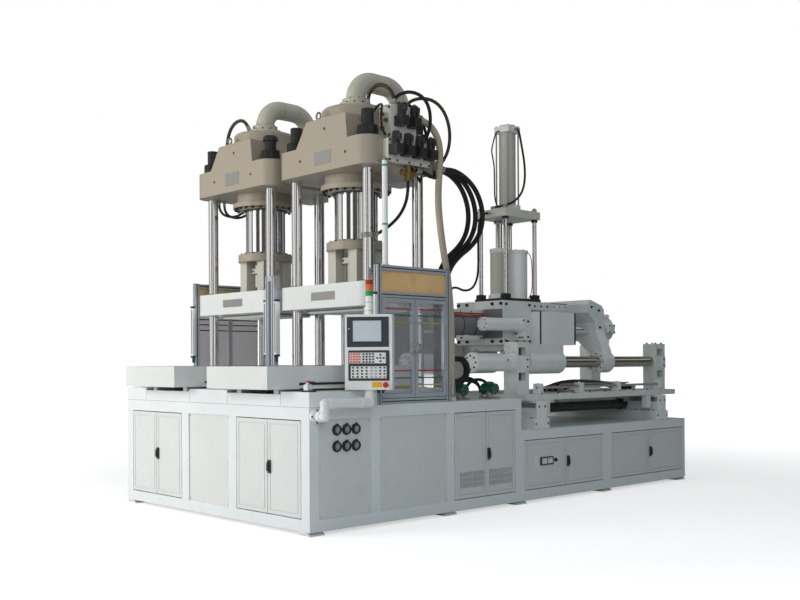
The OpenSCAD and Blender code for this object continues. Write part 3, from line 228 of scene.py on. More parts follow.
@dataclass(frozen=True)
class Finish:
    """One finish of the machine, made into a node material.

    Attributes:
        name: Name of the material.
        colour: Main colour.
        roughness: Middle of the roughness range.
        grain: Surface grain.
        metallic: 1 for bare metal.
        coat: Clear-coat weight of glossy paint.
        vary: Share by which the colour drifts over the surface.
        soil: Colour that gathers in patches.
        soil_share: How much of the soil colour shows.
        clear: Share of light that a clear sheet lets through.
        edge: Radius by which sharp edges catch the light.
    """

    name: str
    colour: Colour
    roughness: float
    grain: Grain
    metallic: float = 0.0
    coat: float = 0.0
    vary: float = 0.05
    soil: Colour = (0.3, 0.27, 0.22)
    soil_share: float = 0.0
    clear: float = 0.0
    edge: float = 0.0025

    def material(self) -> bpy.types.Material:
        """Makes the material, or finds it where it is made already.

        Returns:
            The node material of this finish.
        """
        made = bpy.data.materials.get(self.name)
        if made:
            return made
        made = bpy.data.materials.new(self.name)
        tree = Tree(made)
        scale, stretch, depth = self.grain.value
        place = tree.add("TexCoord", {}, "Object")
        fine = tree.noise(tree.add("Mapping", {"Vector": place, "Scale": (1.0, 1.0, stretch)}), scale, 3.0)
        shades = [(0.3, 1.0 - self.vary), (0.7, 1.0 + self.vary)]
        stops = [(spot, tuple(min(c * shade, 1.0) for c in self.colour)) for spot, shade in shades]
        colour = tree.ramp(tree.noise(place, 2.3, 5.0), stops)
        if self.soil_share:
            patch = {"Value": tree.noise(place, 9.0, 8.0), "From Min": 0.52, "From Max": 0.75}
            share = tree.add("MapRange", {**patch, "To Max": self.soil_share})
            soiled = {"Factor": share, "A": colour, "B": (*self.soil, 1.0)}
            colour = tree.add("Mix", soiled, "Result", data_type="RGBA")
        low, high = max(self.roughness - GLOSS_SPREAD, 0.02), min(self.roughness + GLOSS_SPREAD, 1.0)
        gloss = {"To Min": low, "To Max": high}
        bump = {"Strength": BUMP_STRENGTH, "Distance": depth, "Height": fine}
        if not self.clear:
            bump["Normal"] = tree.add("Bevel", {"Radius": self.edge}, samples=3)
        shader = tree.nodes["Principled BSDF"]
        tree.feed(shader, {
            "Base Color": colour, "Roughness": tree.add("MapRange", {"Value": fine, **gloss}),
            "Normal": tree.add("Bump", bump), "Metallic": self.metallic, "Coat Weight": self.coat,
            "Coat Roughness": COAT_ROUGHNESS,
        })
        if self.clear:
            tree.feed(shader, {"Transmission Weight": self.clear, "IOR": SHEET_IOR})
        return made


PAINT = Finish("machine_paint", (0.7, 0.71, 0.69), 0.38, Grain.PAINT, coat=0.2, vary=0.02, soil_share=0.08)
FRAME_PAINT = Finish(
    "frame_paint", (0.77, 0.795, 0.8), 0.36, Grain.PAINT, coat=0.2, vary=0.02, soil_share=0.06
)
PRESS_PAINT = Finish(
    "press_paint", (0.36, 0.31, 0.24), 0.36, Grain.PAINT, coat=0.25, vary=0.025, soil_share=0.1
)
PIPE_PAINT = Finish(
    "pipe_paint", (0.5, 0.475, 0.39), 0.32, Grain.PAINT, coat=0.3, vary=0.025, soil_share=0.08
)
WHITE = Finish("white_paint", (0.8, 0.81, 0.8), 0.32, Grain.PAINT, coat=0.3, vary=0.02, soil_share=0.05)
PALE = Finish("pale_paint", (0.64, 0.65, 0.62), 0.36, Grain.PAINT, coat=0.2, vary=0.03, soil_share=0.1)
CREAM = Finish("cream_paint", (0.53, 0.51, 0.44), 0.36, Grain.PAINT, coat=0.2, vary=0.03, soil_share=0.1)
CREAM_PLATE = Finish(
    "cream_plate", (0.66, 0.63, 0.55), 0.36, Grain.PAINT, coat=0.2, vary=0.03, soil_share=0.08
)
FILM = Finish("wrapped_paint", (0.84, 0.85, 0.83), 0.16, Grain.WRAP, coat=0.7, vary=0.05)
CASTING = Finish(
    "painted_casting", (0.72, 0.74, 0.71), 0.42, Grain.CAST, coat=0.15, vary=0.05, soil_share=0.16
)
CHROME = Finish("hard_chrome", (0.8, 0.81, 0.84), 0.09, Grain.POLISHED, metallic=1.0, vary=0.02)
BAR_CHROME = Finish("bar_chrome", (0.42, 0.39, 0.34), 0.18, Grain.POLISHED, metallic=1.0, vary=0.04)
STEEL = Finish("turned_steel", (0.48, 0.48, 0.48), 0.3, Grain.GROUND, metallic=1.0, vary=0.1)
ZINC = Finish("zinc_fastener", (0.5, 0.5, 0.47), 0.38, Grain.CAST, metallic=1.0, vary=0.12)
PLATE = Finish("bare_plate", (0.4, 0.39, 0.38), 0.42, Grain.DRAWN, metallic=0.6, vary=0.06)
BLACKED = Finish(
    "blacked_steel", (0.018, 0.018, 0.02), 0.4, Grain.CAST, vary=0.2, soil=(0.1, 0.09, 0.08), soil_share=0.4
)
COVER = Finish("barrel_cover", (0.02, 0.02, 0.021), 0.45, Grain.PAINT, coat=0.05, vary=0.15, soil_share=0.1)
PROFILE = Finish("anodised_profile", (0.5, 0.53, 0.57), 0.4, Grain.DRAWN, metallic=0.35, vary=0.04)
KRAFT = Finish(
    "masking_paper", (0.8, 0.51, 0.23), 0.75, Grain.PAPER, vary=0.1, soil=(0.5, 0.24, 0.12), soil_share=0.35
)
SHEET = Finish("clear_sheet", (0.8, 0.8, 0.83), 0.06, Grain.CLEAR, vary=0.02, clear=0.88)
HOSE = Finish(
    "hose_rubber", (0.009, 0.009, 0.01), 0.5, Grain.RUBBER, vary=0.2, soil=(0.05, 0.05, 0.047),
    soil_share=0.2
)
BROWN_HOSE = Finish(
    "brown_hose", (0.05, 0.032, 0.018), 0.42, Grain.RUBBER, vary=0.2, soil=(0.16, 0.11, 0.06),
    soil_share=0.5
)
SLEEVE = Finish("hose_sleeve", (0.45, 0.39, 0.28), 0.62, Grain.RUBBER, vary=0.12, soil_share=0.3)
BRASS = Finish("brass_fitting", (0.34, 0.24, 0.1), 0.42, Grain.GROUND, metallic=1.0, vary=0.1)
# Near-black for real joints and plugs, and painted shade where it stands for the dark inside of grooves,
# slots, louvre openings and pockets.
DARK_JOINT_AND_GROOVE_SHADE = Finish("dark_joint_and_groove_shade", (0.035, 0.036, 0.038), 0.6, Grain.MOULDED, vary=0.15)
BOARD = Finish("insulating_board", (0.24, 0.23, 0.2), 0.7, Grain.PAPER, vary=0.12)
PLASTIC = Finish("dark_plastic", (0.028, 0.029, 0.032), 0.46, Grain.MOULDED, vary=0.1)
BEZEL = Finish("panel_bezel_film", (0.03, 0.034, 0.046), 0.34, Grain.MOULDED, coat=0.2, vary=0.08)
GREY_PLASTIC = Finish("grey_plastic", (0.4, 0.42, 0.42), 0.45, Grain.MOULDED, vary=0.05)
IVORY = Finish("ivory_plastic", (0.76, 0.76, 0.73), 0.42, Grain.MOULDED, vary=0.03)
RED = Finish("red_plastic", (0.55, 0.022, 0.018), 0.32, Grain.MOULDED, vary=0.08)
KEY_RED = Finish("key_red", (0.72, 0.16, 0.12), 0.44, Grain.MOULDED, vary=0.06)
AMBER = Finish("amber_plastic", (0.8, 0.19, 0.01), 0.3, Grain.MOULDED, vary=0.08)
YELLOW = Finish("yellow_plastic", (0.78, 0.42, 0.02), 0.36, Grain.MOULDED, vary=0.06)
GREEN = Finish("green_plastic", (0.01, 0.36, 0.14), 0.34, Grain.MOULDED, vary=0.08)
GREEN_PAINT = Finish(
    "green_paint", (0.012, 0.105, 0.07), 0.34, Grain.CAST, coat=0.3, vary=0.12, soil_share=0.2
)
RED_TAPE = Finish("red_tape", (0.4, 0.03, 0.05), 0.4, Grain.PAPER, vary=0.1)
GREEN_TAPE = Finish("green_tape", (0.02, 0.16, 0.105), 0.4, Grain.PAPER, vary=0.1)
YELLOW_TAPE = Finish("yellow_tape", (0.46, 0.4, 0.05), 0.4, Grain.PAPER, vary=0.1)
ORANGE_WIRE = Finish("orange_wire", (0.8, 0.14, 0.02), 0.42, Grain.RUBBER, vary=0.1)
RED_WIRE = Finish("red_wire", (0.5, 0.03, 0.03), 0.42, Grain.RUBBER, vary=0.1)
BLUE_WIRE = Finish("blue_wire", (0.05, 0.06, 0.16), 0.42, Grain.RUBBER, vary=0.1)
SCREEN = Finish("panel_screen", (0.52, 0.57, 0.6), 0.14, Grain.CLEAR, coat=0.6, vary=0.1)

NODE_FINISHES: dict[str, Finish] = {
    "paint": PAINT,
    "white_paint": WHITE,
    "chrome": CHROME,
    "black": BLACKED,
    "casting": CASTING,
    "pale_paint": PALE,
    "barrel_cover": COVER,
    "profile": PROFILE,
    "masked": KRAFT,
    "clear": SHEET,
    "lens": AMBER,
    "hose": HOSE,
    "return_hose": SLEEVE,
}


class Shape:
    """Gathers the solids of one piece, drawn in machine axes."""

    def __init__(self, place: Optional[Matrix] = None) -> None:
        """Starts an empty shape, in machine axes or in a local frame."""
        self.mesh = bmesh.new()
        self.place = place or Matrix.Identity(4)

    def on(self, place: Matrix) -> "Shape":
        """Goes on in another local frame."""
        self.place = place
        return self

    def _point(self, p: Point) -> bmesh.types.BMVert:
        """Adds one point given in the shape's frame."""
        return self.mesh.verts.new(at(*(self.place @ Vector(p))))

    def _round(self, centre: Vector, across: Vector, turn: Vector, radius: float, sides: int) -> Round:
        """Adds points round a centre, or the centre alone where the radius is 0."""
        if radius < TIP_RADIUS:
            return [self._point(centre)]
        angles = (2 * math.pi * i / sides for i in range(sides))
        return [
            self._point(centre + across * radius * math.cos(a) + turn * radius * math.sin(a))
            for a in angles
        ]

    def _skin(self, rounds: Sequence[Round], caps: Iterable[Round] = ()) -> list[bmesh.types.BMFace]:
        """Closes rounds of points into a solid.

        Args:
            rounds: Rounds from foot to head, where a single point is a tip.
            caps: Rounds that are closed flat.

        Returns:
            The faces.
        """
        faces = [self.mesh.faces.new(cap) for cap in caps if len(cap) > 1]
        for low, high in zip(rounds, rounds[1:]):
            sides = max(len(low), len(high))
            for i in range(sides):
                j = (i + 1) % sides
                loop = [low[i % len(low)], low[j % len(low)], high[j % len(high)], high[i % len(high)]]
                faces.append(self.mesh.faces.new(list(dict.fromkeys(loop))))
        bmesh.ops.recalc_face_normals(self.mesh, faces=faces)
        return faces

    def box(self, low: Point, high: Point, bevel: float = 0.002) -> "Shape":
        """Adds a box with bevelled edges between its lowest and highest corners."""
        (x0, y0, z0), (x1, y1, z1) = low, high
        return self.slab([(x0, y0), (x1, y0), (x1, y1), (x0, y1)], Z_AXIS, z0, z1, bevel)

    def slab(
        self, outline: Sequence[Point], axis: Vector, low: float, high: float, bevel: float = 0.002
    ) -> "Shape":
        """Adds a flat outline drawn out along a machine axis.

        Args:
            outline: Corners in the two other axes: X and Y for Z, X and Z for Y, Y and Z for X.
            axis: Machine axis of the draw.
            low: Start along the axis.
            high: End along the axis.
            bevel: Width of the bevels.

        Returns:
            The shape itself.
        """
        def corner(p: Point, h: float) -> Point:
            """Places an outline corner at a height along the axis."""
            if axis.z:
                return (p[0], p[1], h)
            return (p[0], h, p[1]) if axis.y else (h, p[0], p[1])

        ends = [[self._point(corner(p, h)) for p in outline] for h in (low, high)]
        faces = self._skin(ends, ends)
        if bevel:
            edges = list({edge for face in faces for edge in face.edges})
            bmesh.ops.bevel(
                self.mesh, geom=edges, offset=bevel, segments=1, profile=0.5, affect="EDGES",
                clamp_overlap=True
            )
        return self

    def _rounds(self, foot: Point, axis: Vector, profile: Sequence[Point], sides: int) -> list[Round]:
        """Adds the rounds of a profile of radii and heights along an axis."""
        direction = axis.normalized()
        across, turn = square_to(axis)
        return [self._round(Vector(foot) + direction * h, across, turn, r, sides) for r, h in profile]

    def turned(self, foot: Point, axis: Vector, profile: Sequence[Point], sides: int = 28) -> "Shape":
        """Adds a turned solid.

        Args:
            foot: Point on the axis at height 0.
            axis: Direction of the axis.
            profile: Pairs of radius and height, from foot to head.
            sides: Number of sides.

        Returns:
            The shape itself.
        """
        rounds = self._rounds(foot, axis, profile, sides)
        self._skin(rounds, (rounds[0], rounds[-1]))
        return self

    def adapter(self, foot: Point, axis: Vector, nut: Point, neck: Point, sides: int = 6) -> "Shape":
        """Adds a screwed-in adapter.

        Args:
            foot: Point on the axis where it is screwed in.
            axis: Outward direction.
            nut: Radius and height of its nut.
            neck: Radius of its neck, and height of the whole.
            sides: Number of sides.

        Returns:
            The shape itself.
        """
        rise = 0.002
        return self.turned(
            foot, axis, [(nut[0], 0), nut, (neck[0], nut[1] + rise), neck, (0, neck[1])], sides
        )

    def rod(
        self, start: Point, end: Point, radius: float, sides: int = 24, chamfer: float = 0.002
    ) -> "Shape":
        """Adds a round rod with chamfered ends between two points."""
        axis = Vector(end) - Vector(start)
        length = axis.length
        edge = min(chamfer, radius / 3, length / 3)
        profile = [(radius - edge, 0), (radius, edge), (radius, length - edge), (radius - edge, length)]
        return self.turned(start, axis, profile, sides)

    def ring(
        self, foot: Point, axis: Vector, outer: float, inner: float, height: float, sides: int = 36
    ) -> "Shape":
        """Adds a flat ring with a square section standing on its foot."""
        edge = min(0.002, height / 4)
        rounds = self._rounds(foot, axis, [
            (inner, 0), (outer - edge, 0), (outer, edge), (outer, height - edge), (outer - edge, height),
            (inner, height),
        ], sides)
        self._skin([*rounds, rounds[0]])
        return self

    def sweep(self, path: Sequence[Point], radius: float, sides: int = 12) -> "Shape":
        """Adds a round tube along a path of points close together.

        Args:
            path: Points of the centre line.
            radius: Radius of the tube.
            sides: Number of sides.

        Returns:
            The shape itself.
        """
        points = [Vector(p) for p in path]
        last = len(points) - 1
        across = Vector()
        rounds = []
        for i, point in enumerate(points):
            direction = (points[min(i + 1, last)] - points[max(i - 1, 0)]).normalized()
            across = (across - direction * across.dot(direction)) if i else direction.orthogonal()
            across.normalize()
            rounds.append(self._round(point, across, direction.cross(across), radius, sides))
        self._skin(rounds, (rounds[0], rounds[-1]))
        return self

    def bolt(self, seat: Point, axis: Vector, size: float) -> "Shape":
        """Adds a socket-head bolt on its washer.

        Args:
            seat: Point of the bolt's axis on the surface.
            axis: Outward normal of the surface.
            size: Thread size of the bolt.

        Returns:
            The shape itself.
        """
        head = [
            (1.0, 0), (1.0, 0.18), (0.78, 0.18), (0.8, 0.24), (0.8, 1.0), (0.72, 1.1), (0.42, 1.1),
            (0.36, 0.62), (0, 0.55),
        ]
        return self.turned(seat, axis, [(r * size, h * size) for r, h in head], 14)

    def bolts(self, seats: Iterable[Point], axis: Vector, size: float) -> "Shape":
        """Adds socket-head bolts of one size on several seats."""
        for seat in seats:
            self.bolt(seat, axis, size)
        return self

    def bolt_circle(
        self, centre: Point, axis: Vector, radius: float, count: int, size: float, start: float = 0.0
    ) -> "Shape":
        """Adds socket-head bolts spaced evenly on a circle, the first at a start angle in degrees."""
        return self.bolts(circle(centre, axis, radius, count, start), axis, size)

    def nut(self, seat: Point, axis: Vector, size: float) -> "Shape":
        """Adds a hexagon nut with its stud's end and washer on a surface."""
        washer = [(1.0, 0), (1.0, 0.16), (0.85, 0.16), (0, 0.16)]
        hexagon = [(0.9, 0.16), (0.9, 0.9), (0.8, 1.0), (0, 1.0)]
        stud = [(0.5, 1.0), (0.5, 1.3), (0.4, 1.4), (0, 1.4)]
        for profile, sides in ((washer, 18), (hexagon, 6), (stud, 12)):
            self.turned(seat, axis, [(r * size, h * size) for r, h in profile], sides)
        return self

    def piece(
        self, name: str, finish: Finish, body: str = MACHINE, slot: Optional[str] = None
    ) -> bpy.types.Object:
        """Makes the shape a finished piece that rides on a body.

        Args:
            name: Name of the piece.
            finish: Finish of the piece.
            body: Body that it moves with.
            slot: Material slot of the record, where one fits; not used.

        Returns:
            The piece's object.
        """
        for face in self.mesh.faces:
            face.smooth = True
        data = bpy.data.meshes.new(name)
        self.mesh.to_mesh(data)
        self.mesh.free()
        data.set_sharp_from_angle(angle=math.radians(SHARP_DEGREES))
        data.materials.append(finish.material())
        made = bpy.data.objects.new(name, data)
        bpy.context.scene.collection.objects.link(made)
        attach(made, body)
        LOG.info("%s: %d faces on %s", name, len(data.polygons), body)
        return made


def smooth_path(route: Sequence[Point], cuts: int) -> list[Vector]:
    """Draws a smooth line through route points.

    Args:
        route: Points that the line passes.
        cuts: Number of steps between two route points.

    Returns:
        Points of the line, from the first route point to the last.
    """
    points = [Vector(p) for p in route]
    ends = [points[0] * 2 - points[1], *points, points[-1] * 2 - points[-2]]
    line = []
    for a, b, c, d in zip(ends, ends[1:], ends[2:], ends[3:]):
        square, cube = 2 * a - 5 * b + 4 * c - d, 3 * b - a - 3 * c + d
        for t in (i / cuts for i in range(cuts)):
            line.append(0.5 * (2 * b + (c - a) * t + square * t * t + cube * t ** 3))
    return [*line, points[-1]]


@dataclass
class Studio:
    """Camera, floor and soft light round the machine."""

    camera_place: Point = (6.6528, -4.2557, 1.183)
    camera_heading: float = 46.64
    camera_roll: float = 0.29
    lens: float = 45.585
    sensor: float = 36.0
    horizon_shift: float = 0.0774
    floor_half: float = 60.0
    floor_rise: tuple[float, ...] = (3.5, 9.0, 0.55, 1.0)
    sky_level: float = 0.23
    panels: tuple[Point, ...] = (
        (0.0, 0.25), (0.078, 0.3), (0.089, 0.8), (0.147, 0.8), (0.156, 0.05), (0.171, 0.05), (0.181, 1.35),
        (0.233, 1.35), (0.244, 0.07), (0.299, 0.07), (0.308, 1.2), (0.331, 1.2), (0.34, 0.06), (0.399, 0.1),
        (0.41, 0.9), (0.456, 0.9), (0.47, 0.6), (0.533, 0.55), (0.552, 0.06), (0.722, 0.05), (0.739, 0.3),
        (0.761, 0.3), (0.778, 0.05), (0.883, 0.06), (0.906, 0.3), (0.986, 0.25),
    )
    ceiling: tuple[Point, ...] = (
        (0.0, 0.05), (0.3, 0.05), (0.34, 0.9), (0.42, 0.9), (0.48, 0.08), (1.0, 0.16),
    )
    ceiling_from: Point = (0.22, 0.3)

    def build(self) -> None:
        """Sets up everything that isn't part of the machine."""
        scene = bpy.context.scene
        scene.view_settings.view_transform = "Standard"
        self._camera(scene)
        self._floor()
        self._world(scene)
        self._lamp("key_lamp", (-3.2, -6.5, 2.7), (0.0, 1.0, 1.0), 4.5, 490.0)
        self._lamp("side_lamp", (7.0, -3.0, 3.6), (1.2, 0.6, 0.8), 3.5, 105.0, (0.8, 0.92, 1.0))
        self._lamp("top_lamp", (0.5, 1.5, 8.5), (0.3, 1.8, 0.0), 6.0, 150.0)
        self._lamp("fill_lamp", (3.8, -1.9, 3.4), (1.0, -1.4, 2.7), 1.6, 16.0, (0.92, 0.97, 1.0))

    def _camera(self, scene: bpy.types.Scene) -> None:
        """Places the level camera at the photograph's viewing angle."""
        data = bpy.data.cameras.new("photo_camera")
        data.sensor_fit = "HORIZONTAL"
        data.sensor_width = self.sensor
        data.lens = self.lens
        data.shift_y = self.horizon_shift
        data.clip_end = 200.0
        camera = bpy.data.objects.new("photo_camera", data)
        scene.collection.objects.link(camera)
        camera.location = at(*self.camera_place)
        heading = math.radians(self.camera_heading)
        forward = Vector((-math.sin(heading), math.cos(heading), 0.0))
        level = forward.to_track_quat("-Z", "Y")
        camera.rotation_mode = "QUATERNION"
        camera.rotation_quaternion = Quaternion(forward, math.radians(self.camera_roll)) @ level
        scene.camera = camera

    def _floor(self) -> None:
        """Lays a plain pale floor that shows white to the camera and keeps the shadow."""
        data = bpy.data.meshes.new("floor")
        h = self.floor_half
        data.from_pydata([(-h, -h, 0), (h, -h, 0), (h, h, 0), (-h, h, 0)], [], [(0, 1, 2, 3)])
        floor = bpy.data.objects.new("floor", data)
        bpy.context.scene.collection.objects.link(floor)
        made = bpy.data.materials.new("pale_floor")
        tree = Tree(made)
        reach = tree.add("VectorMath", {0: tree.add("TexCoord", {}, "Object")}, "Value", operation="LENGTH")
        rise = dict(zip(("From Min", "From Max", "To Min", "To Max"), self.floor_rise))
        white = {
            0: tree.add("MapRange", {"Value": reach, **rise}),
            1: tree.seen("Is Camera Ray", "Is Transmission Ray")
        }
        tree.feed(tree.nodes["Principled BSDF"], {
            "Base Color": (0.7, 0.7, 0.69, 1.0), "Roughness": 0.85, "Specular IOR Level": 0.1,
            "Emission Color": OPAQUE_WHITE,
            "Emission Strength": tree.add("Math", white, operation="MULTIPLY"),
        })
        data.materials.append(made)

    def _world(self, scene: bpy.types.Scene) -> None:
        """Sets a soft even sky, white to the camera, with panels and grey gaps that metal mirrors."""
        world = bpy.data.worlds.new("studio_sky")
        scene.world = world
        tree = Tree(world)
        sky = tree.nodes["Background"]
        tree.feed(sky, {"Color": (0.84, 0.93, 1.0, 1.0), "Strength": self.sky_level})
        white = tree.add("Background", {"Color": self._panels(tree)})
        seen = tree.seen("Is Camera Ray", "Is Transmission Ray", "Is Glossy Ray")
        mix = tree.add("MixShader", {"Fac": seen, 1: sky.outputs["Background"], 2: white})
        tree.feed(tree.nodes["World Output"], {"Surface": mix})

    def _panels(self, tree: Tree) -> Socket:
        """Adds the ring of pale panels and grey gaps, white where the camera looks straight at it.

        Args:
            tree: Nodes of the world.

        Returns:
            The colour of the ring.
        """
        place = tree.add("TexCoord", {}, "Generated")
        bearing = tree.add("TexGradient", {"Vector": place}, "Fac", gradient_type="RADIAL")
        height = tree.add("SeparateXYZ", {"Vector": place}, "Z")
        ring, cap = (
            tree.ramp(source, [(spot, (level, level * 0.97, level * 0.92)) for spot, level in levels])
            for source, levels in ((bearing, self.panels), (height, self.ceiling))
        )
        lift = {"From Min": self.ceiling_from[0], "From Max": self.ceiling_from[1]}
        lifted = tree.add("MapRange", {"Value": height, **lift})
        whole = tree.add("Mix", {"Factor": lifted, 6: ring, 7: cap}, 2, data_type="RGBA")
        plain = {"Factor": tree.seen("Is Glossy Ray"), 6: OPAQUE_WHITE, 7: whole}
        return tree.add("Mix", plain, 2, data_type="RGBA")

    @staticmethod
    def _lamp(
        name: str, place: Point, target: Point, size: float, power: float, tint: Colour = (1.0, 0.99, 0.97)
    ) -> None:
        """Hangs one soft square lamp.

        Args:
            name: Name of the lamp.
            place: Place in machine axes.
            target: Point it faces, in machine axes.
            size: Side of the lamp.
            power: Power in watts.
            tint: Colour of the light.
        """
        data = bpy.data.lights.new(name, "AREA")
        data.size = size
        data.color = tint
        data.energy = power
        lamp = bpy.data.objects.new(name, data)
        lamp.visible_glossy = False
        bpy.context.scene.collection.objects.link(lamp)
        lamp.location = at(*place)
        lamp.rotation_mode = "QUATERNION"
        lamp.rotation_quaternion = (Vector(target) - Vector(place)).to_track_quat("-Z", "Y")


@dataclass(frozen=True)
class Line:
    """A hose or cable between two fittings on one body.

    Attributes:
        name: Name of the line.
        route: Route points in machine axes.
        dia: Diameter of the line.
        finish: Finish of the line.
        body: Body that it moves with.
        fitting: Finish of its end fittings.
        node: Node that it stands for, where there is one.
        slot: Material slot of the record, where one fits.
        stiffness: Stiffness of the line; not used.
        cuts: Steps between two route points.
    """

    name: str
    route: Sequence[Point]
    dia: float
    finish: Finish = HOSE
    body: str = MACHINE
    fitting: Finish = ZINC
    node: Optional[str] = None
    slot: Optional[str] = None
    stiffness: str = "stiff"
    cuts: int = 4

    def build(self) -> None:
        path = smooth_path(self.route, self.cuts)
        tube = Shape().sweep(path, self.dia / 2, LINE_SIDES)
        line = tube.piece(self.name, self.finish, self.body, self.slot)
        if self.node:
            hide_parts(self.node)
        ends = Shape()
        for start, step in ((path[0], path[1]), (path[-1], path[-2])):
            for *shares, sides in (FERRULE, FERRULE_NUT):
                ends.ring(start, step - start, *(self.dia * share for share in shares), sides)
        fittings = ends.piece(f"{self.name}_fittings", self.fitting, self.body)


@dataclass
class Hoses:
    """Pressure hoses from the manifold to the base, and the sleeved return hose."""

    pressure_x: float = 1.037
    pressure_step: float = 0.043
    pressure_dia: float = 0.04
    return_dia: float = 0.052
    bulges: dict[str, float] = field(
        default_factory=lambda: {"hose_inner": 0.92, "hose_middle": 1.0, "hose_outer": 1.08}
    )
    top_y: float = 1.4235
    top_z: float = 2.7
    foot_y: float = 1.48
    foot_z: float = 0.905
    upper: tuple[Point, ...] = (
        (0.0, 0.0), (0.057, 0.0), (0.177, 0.002), (0.292, -0.035), (0.387, -0.102), (0.452, -0.195),
        (0.482, -0.3), (0.472, -0.41), (0.422, -0.51), (0.337, -0.595), (0.237, -0.665), (0.152, -0.745),
        (0.097, -0.84), (0.072, -0.95),
    )
    lower: tuple[Point, ...] = (
        (0.005, 0.715), (0.002, 0.575), (0.0, 0.435), (0.0, 0.295), (0.0, 0.145), (0.0, 0.0)
    )
    return_route: tuple[Point, ...] = (
        (1.118, 1.117, 3.04), (1.118, 1.15, 3.04), (1.127, 1.205, 3.032), (1.15, 1.256, 3.004),
        (1.17, 1.296, 2.956), (1.186, 1.32, 2.892), (1.197, 1.328, 2.815), (1.202, 1.324, 2.725),
        (1.204, 1.314, 2.625), (1.203, 1.306, 2.515), (1.198, 1.31, 2.405), (1.191, 1.326, 2.3),
        (1.182, 1.35, 2.2), (1.172, 1.38, 2.095), (1.163, 1.412, 1.99), (1.158, 1.442, 1.88),
        (1.156, 1.464, 1.755), (1.156, 1.48, 1.62), (1.156, 1.488, 1.485), (1.156, 1.49, 1.35),
        (1.156, 1.49, 1.235), (1.156, 1.49, 1.12), (1.156, 1.49, 1.01), (1.156, 1.49, 0.905),
    )

    def build(self) -> None:
        """Builds every hose over its solid."""
        for i, (node, bulge) in enumerate(self.bulges.items()):
            x = self.pressure_x + (i - 1) * self.pressure_step
            route = [(x, self.top_y + y * bulge, self.top_z + z) for y, z in self.upper]
            route += [(x, self.foot_y + y, self.foot_z + z) for y, z in self.lower]
            Line(f"{node}_line", route, self.pressure_dia, node=node, slot="hose").build()
        Line(
            "return_hose_line", self.return_route, self.return_dia, SLEEVE, node="return_hose",
            slot="return_hose"
        ).build()


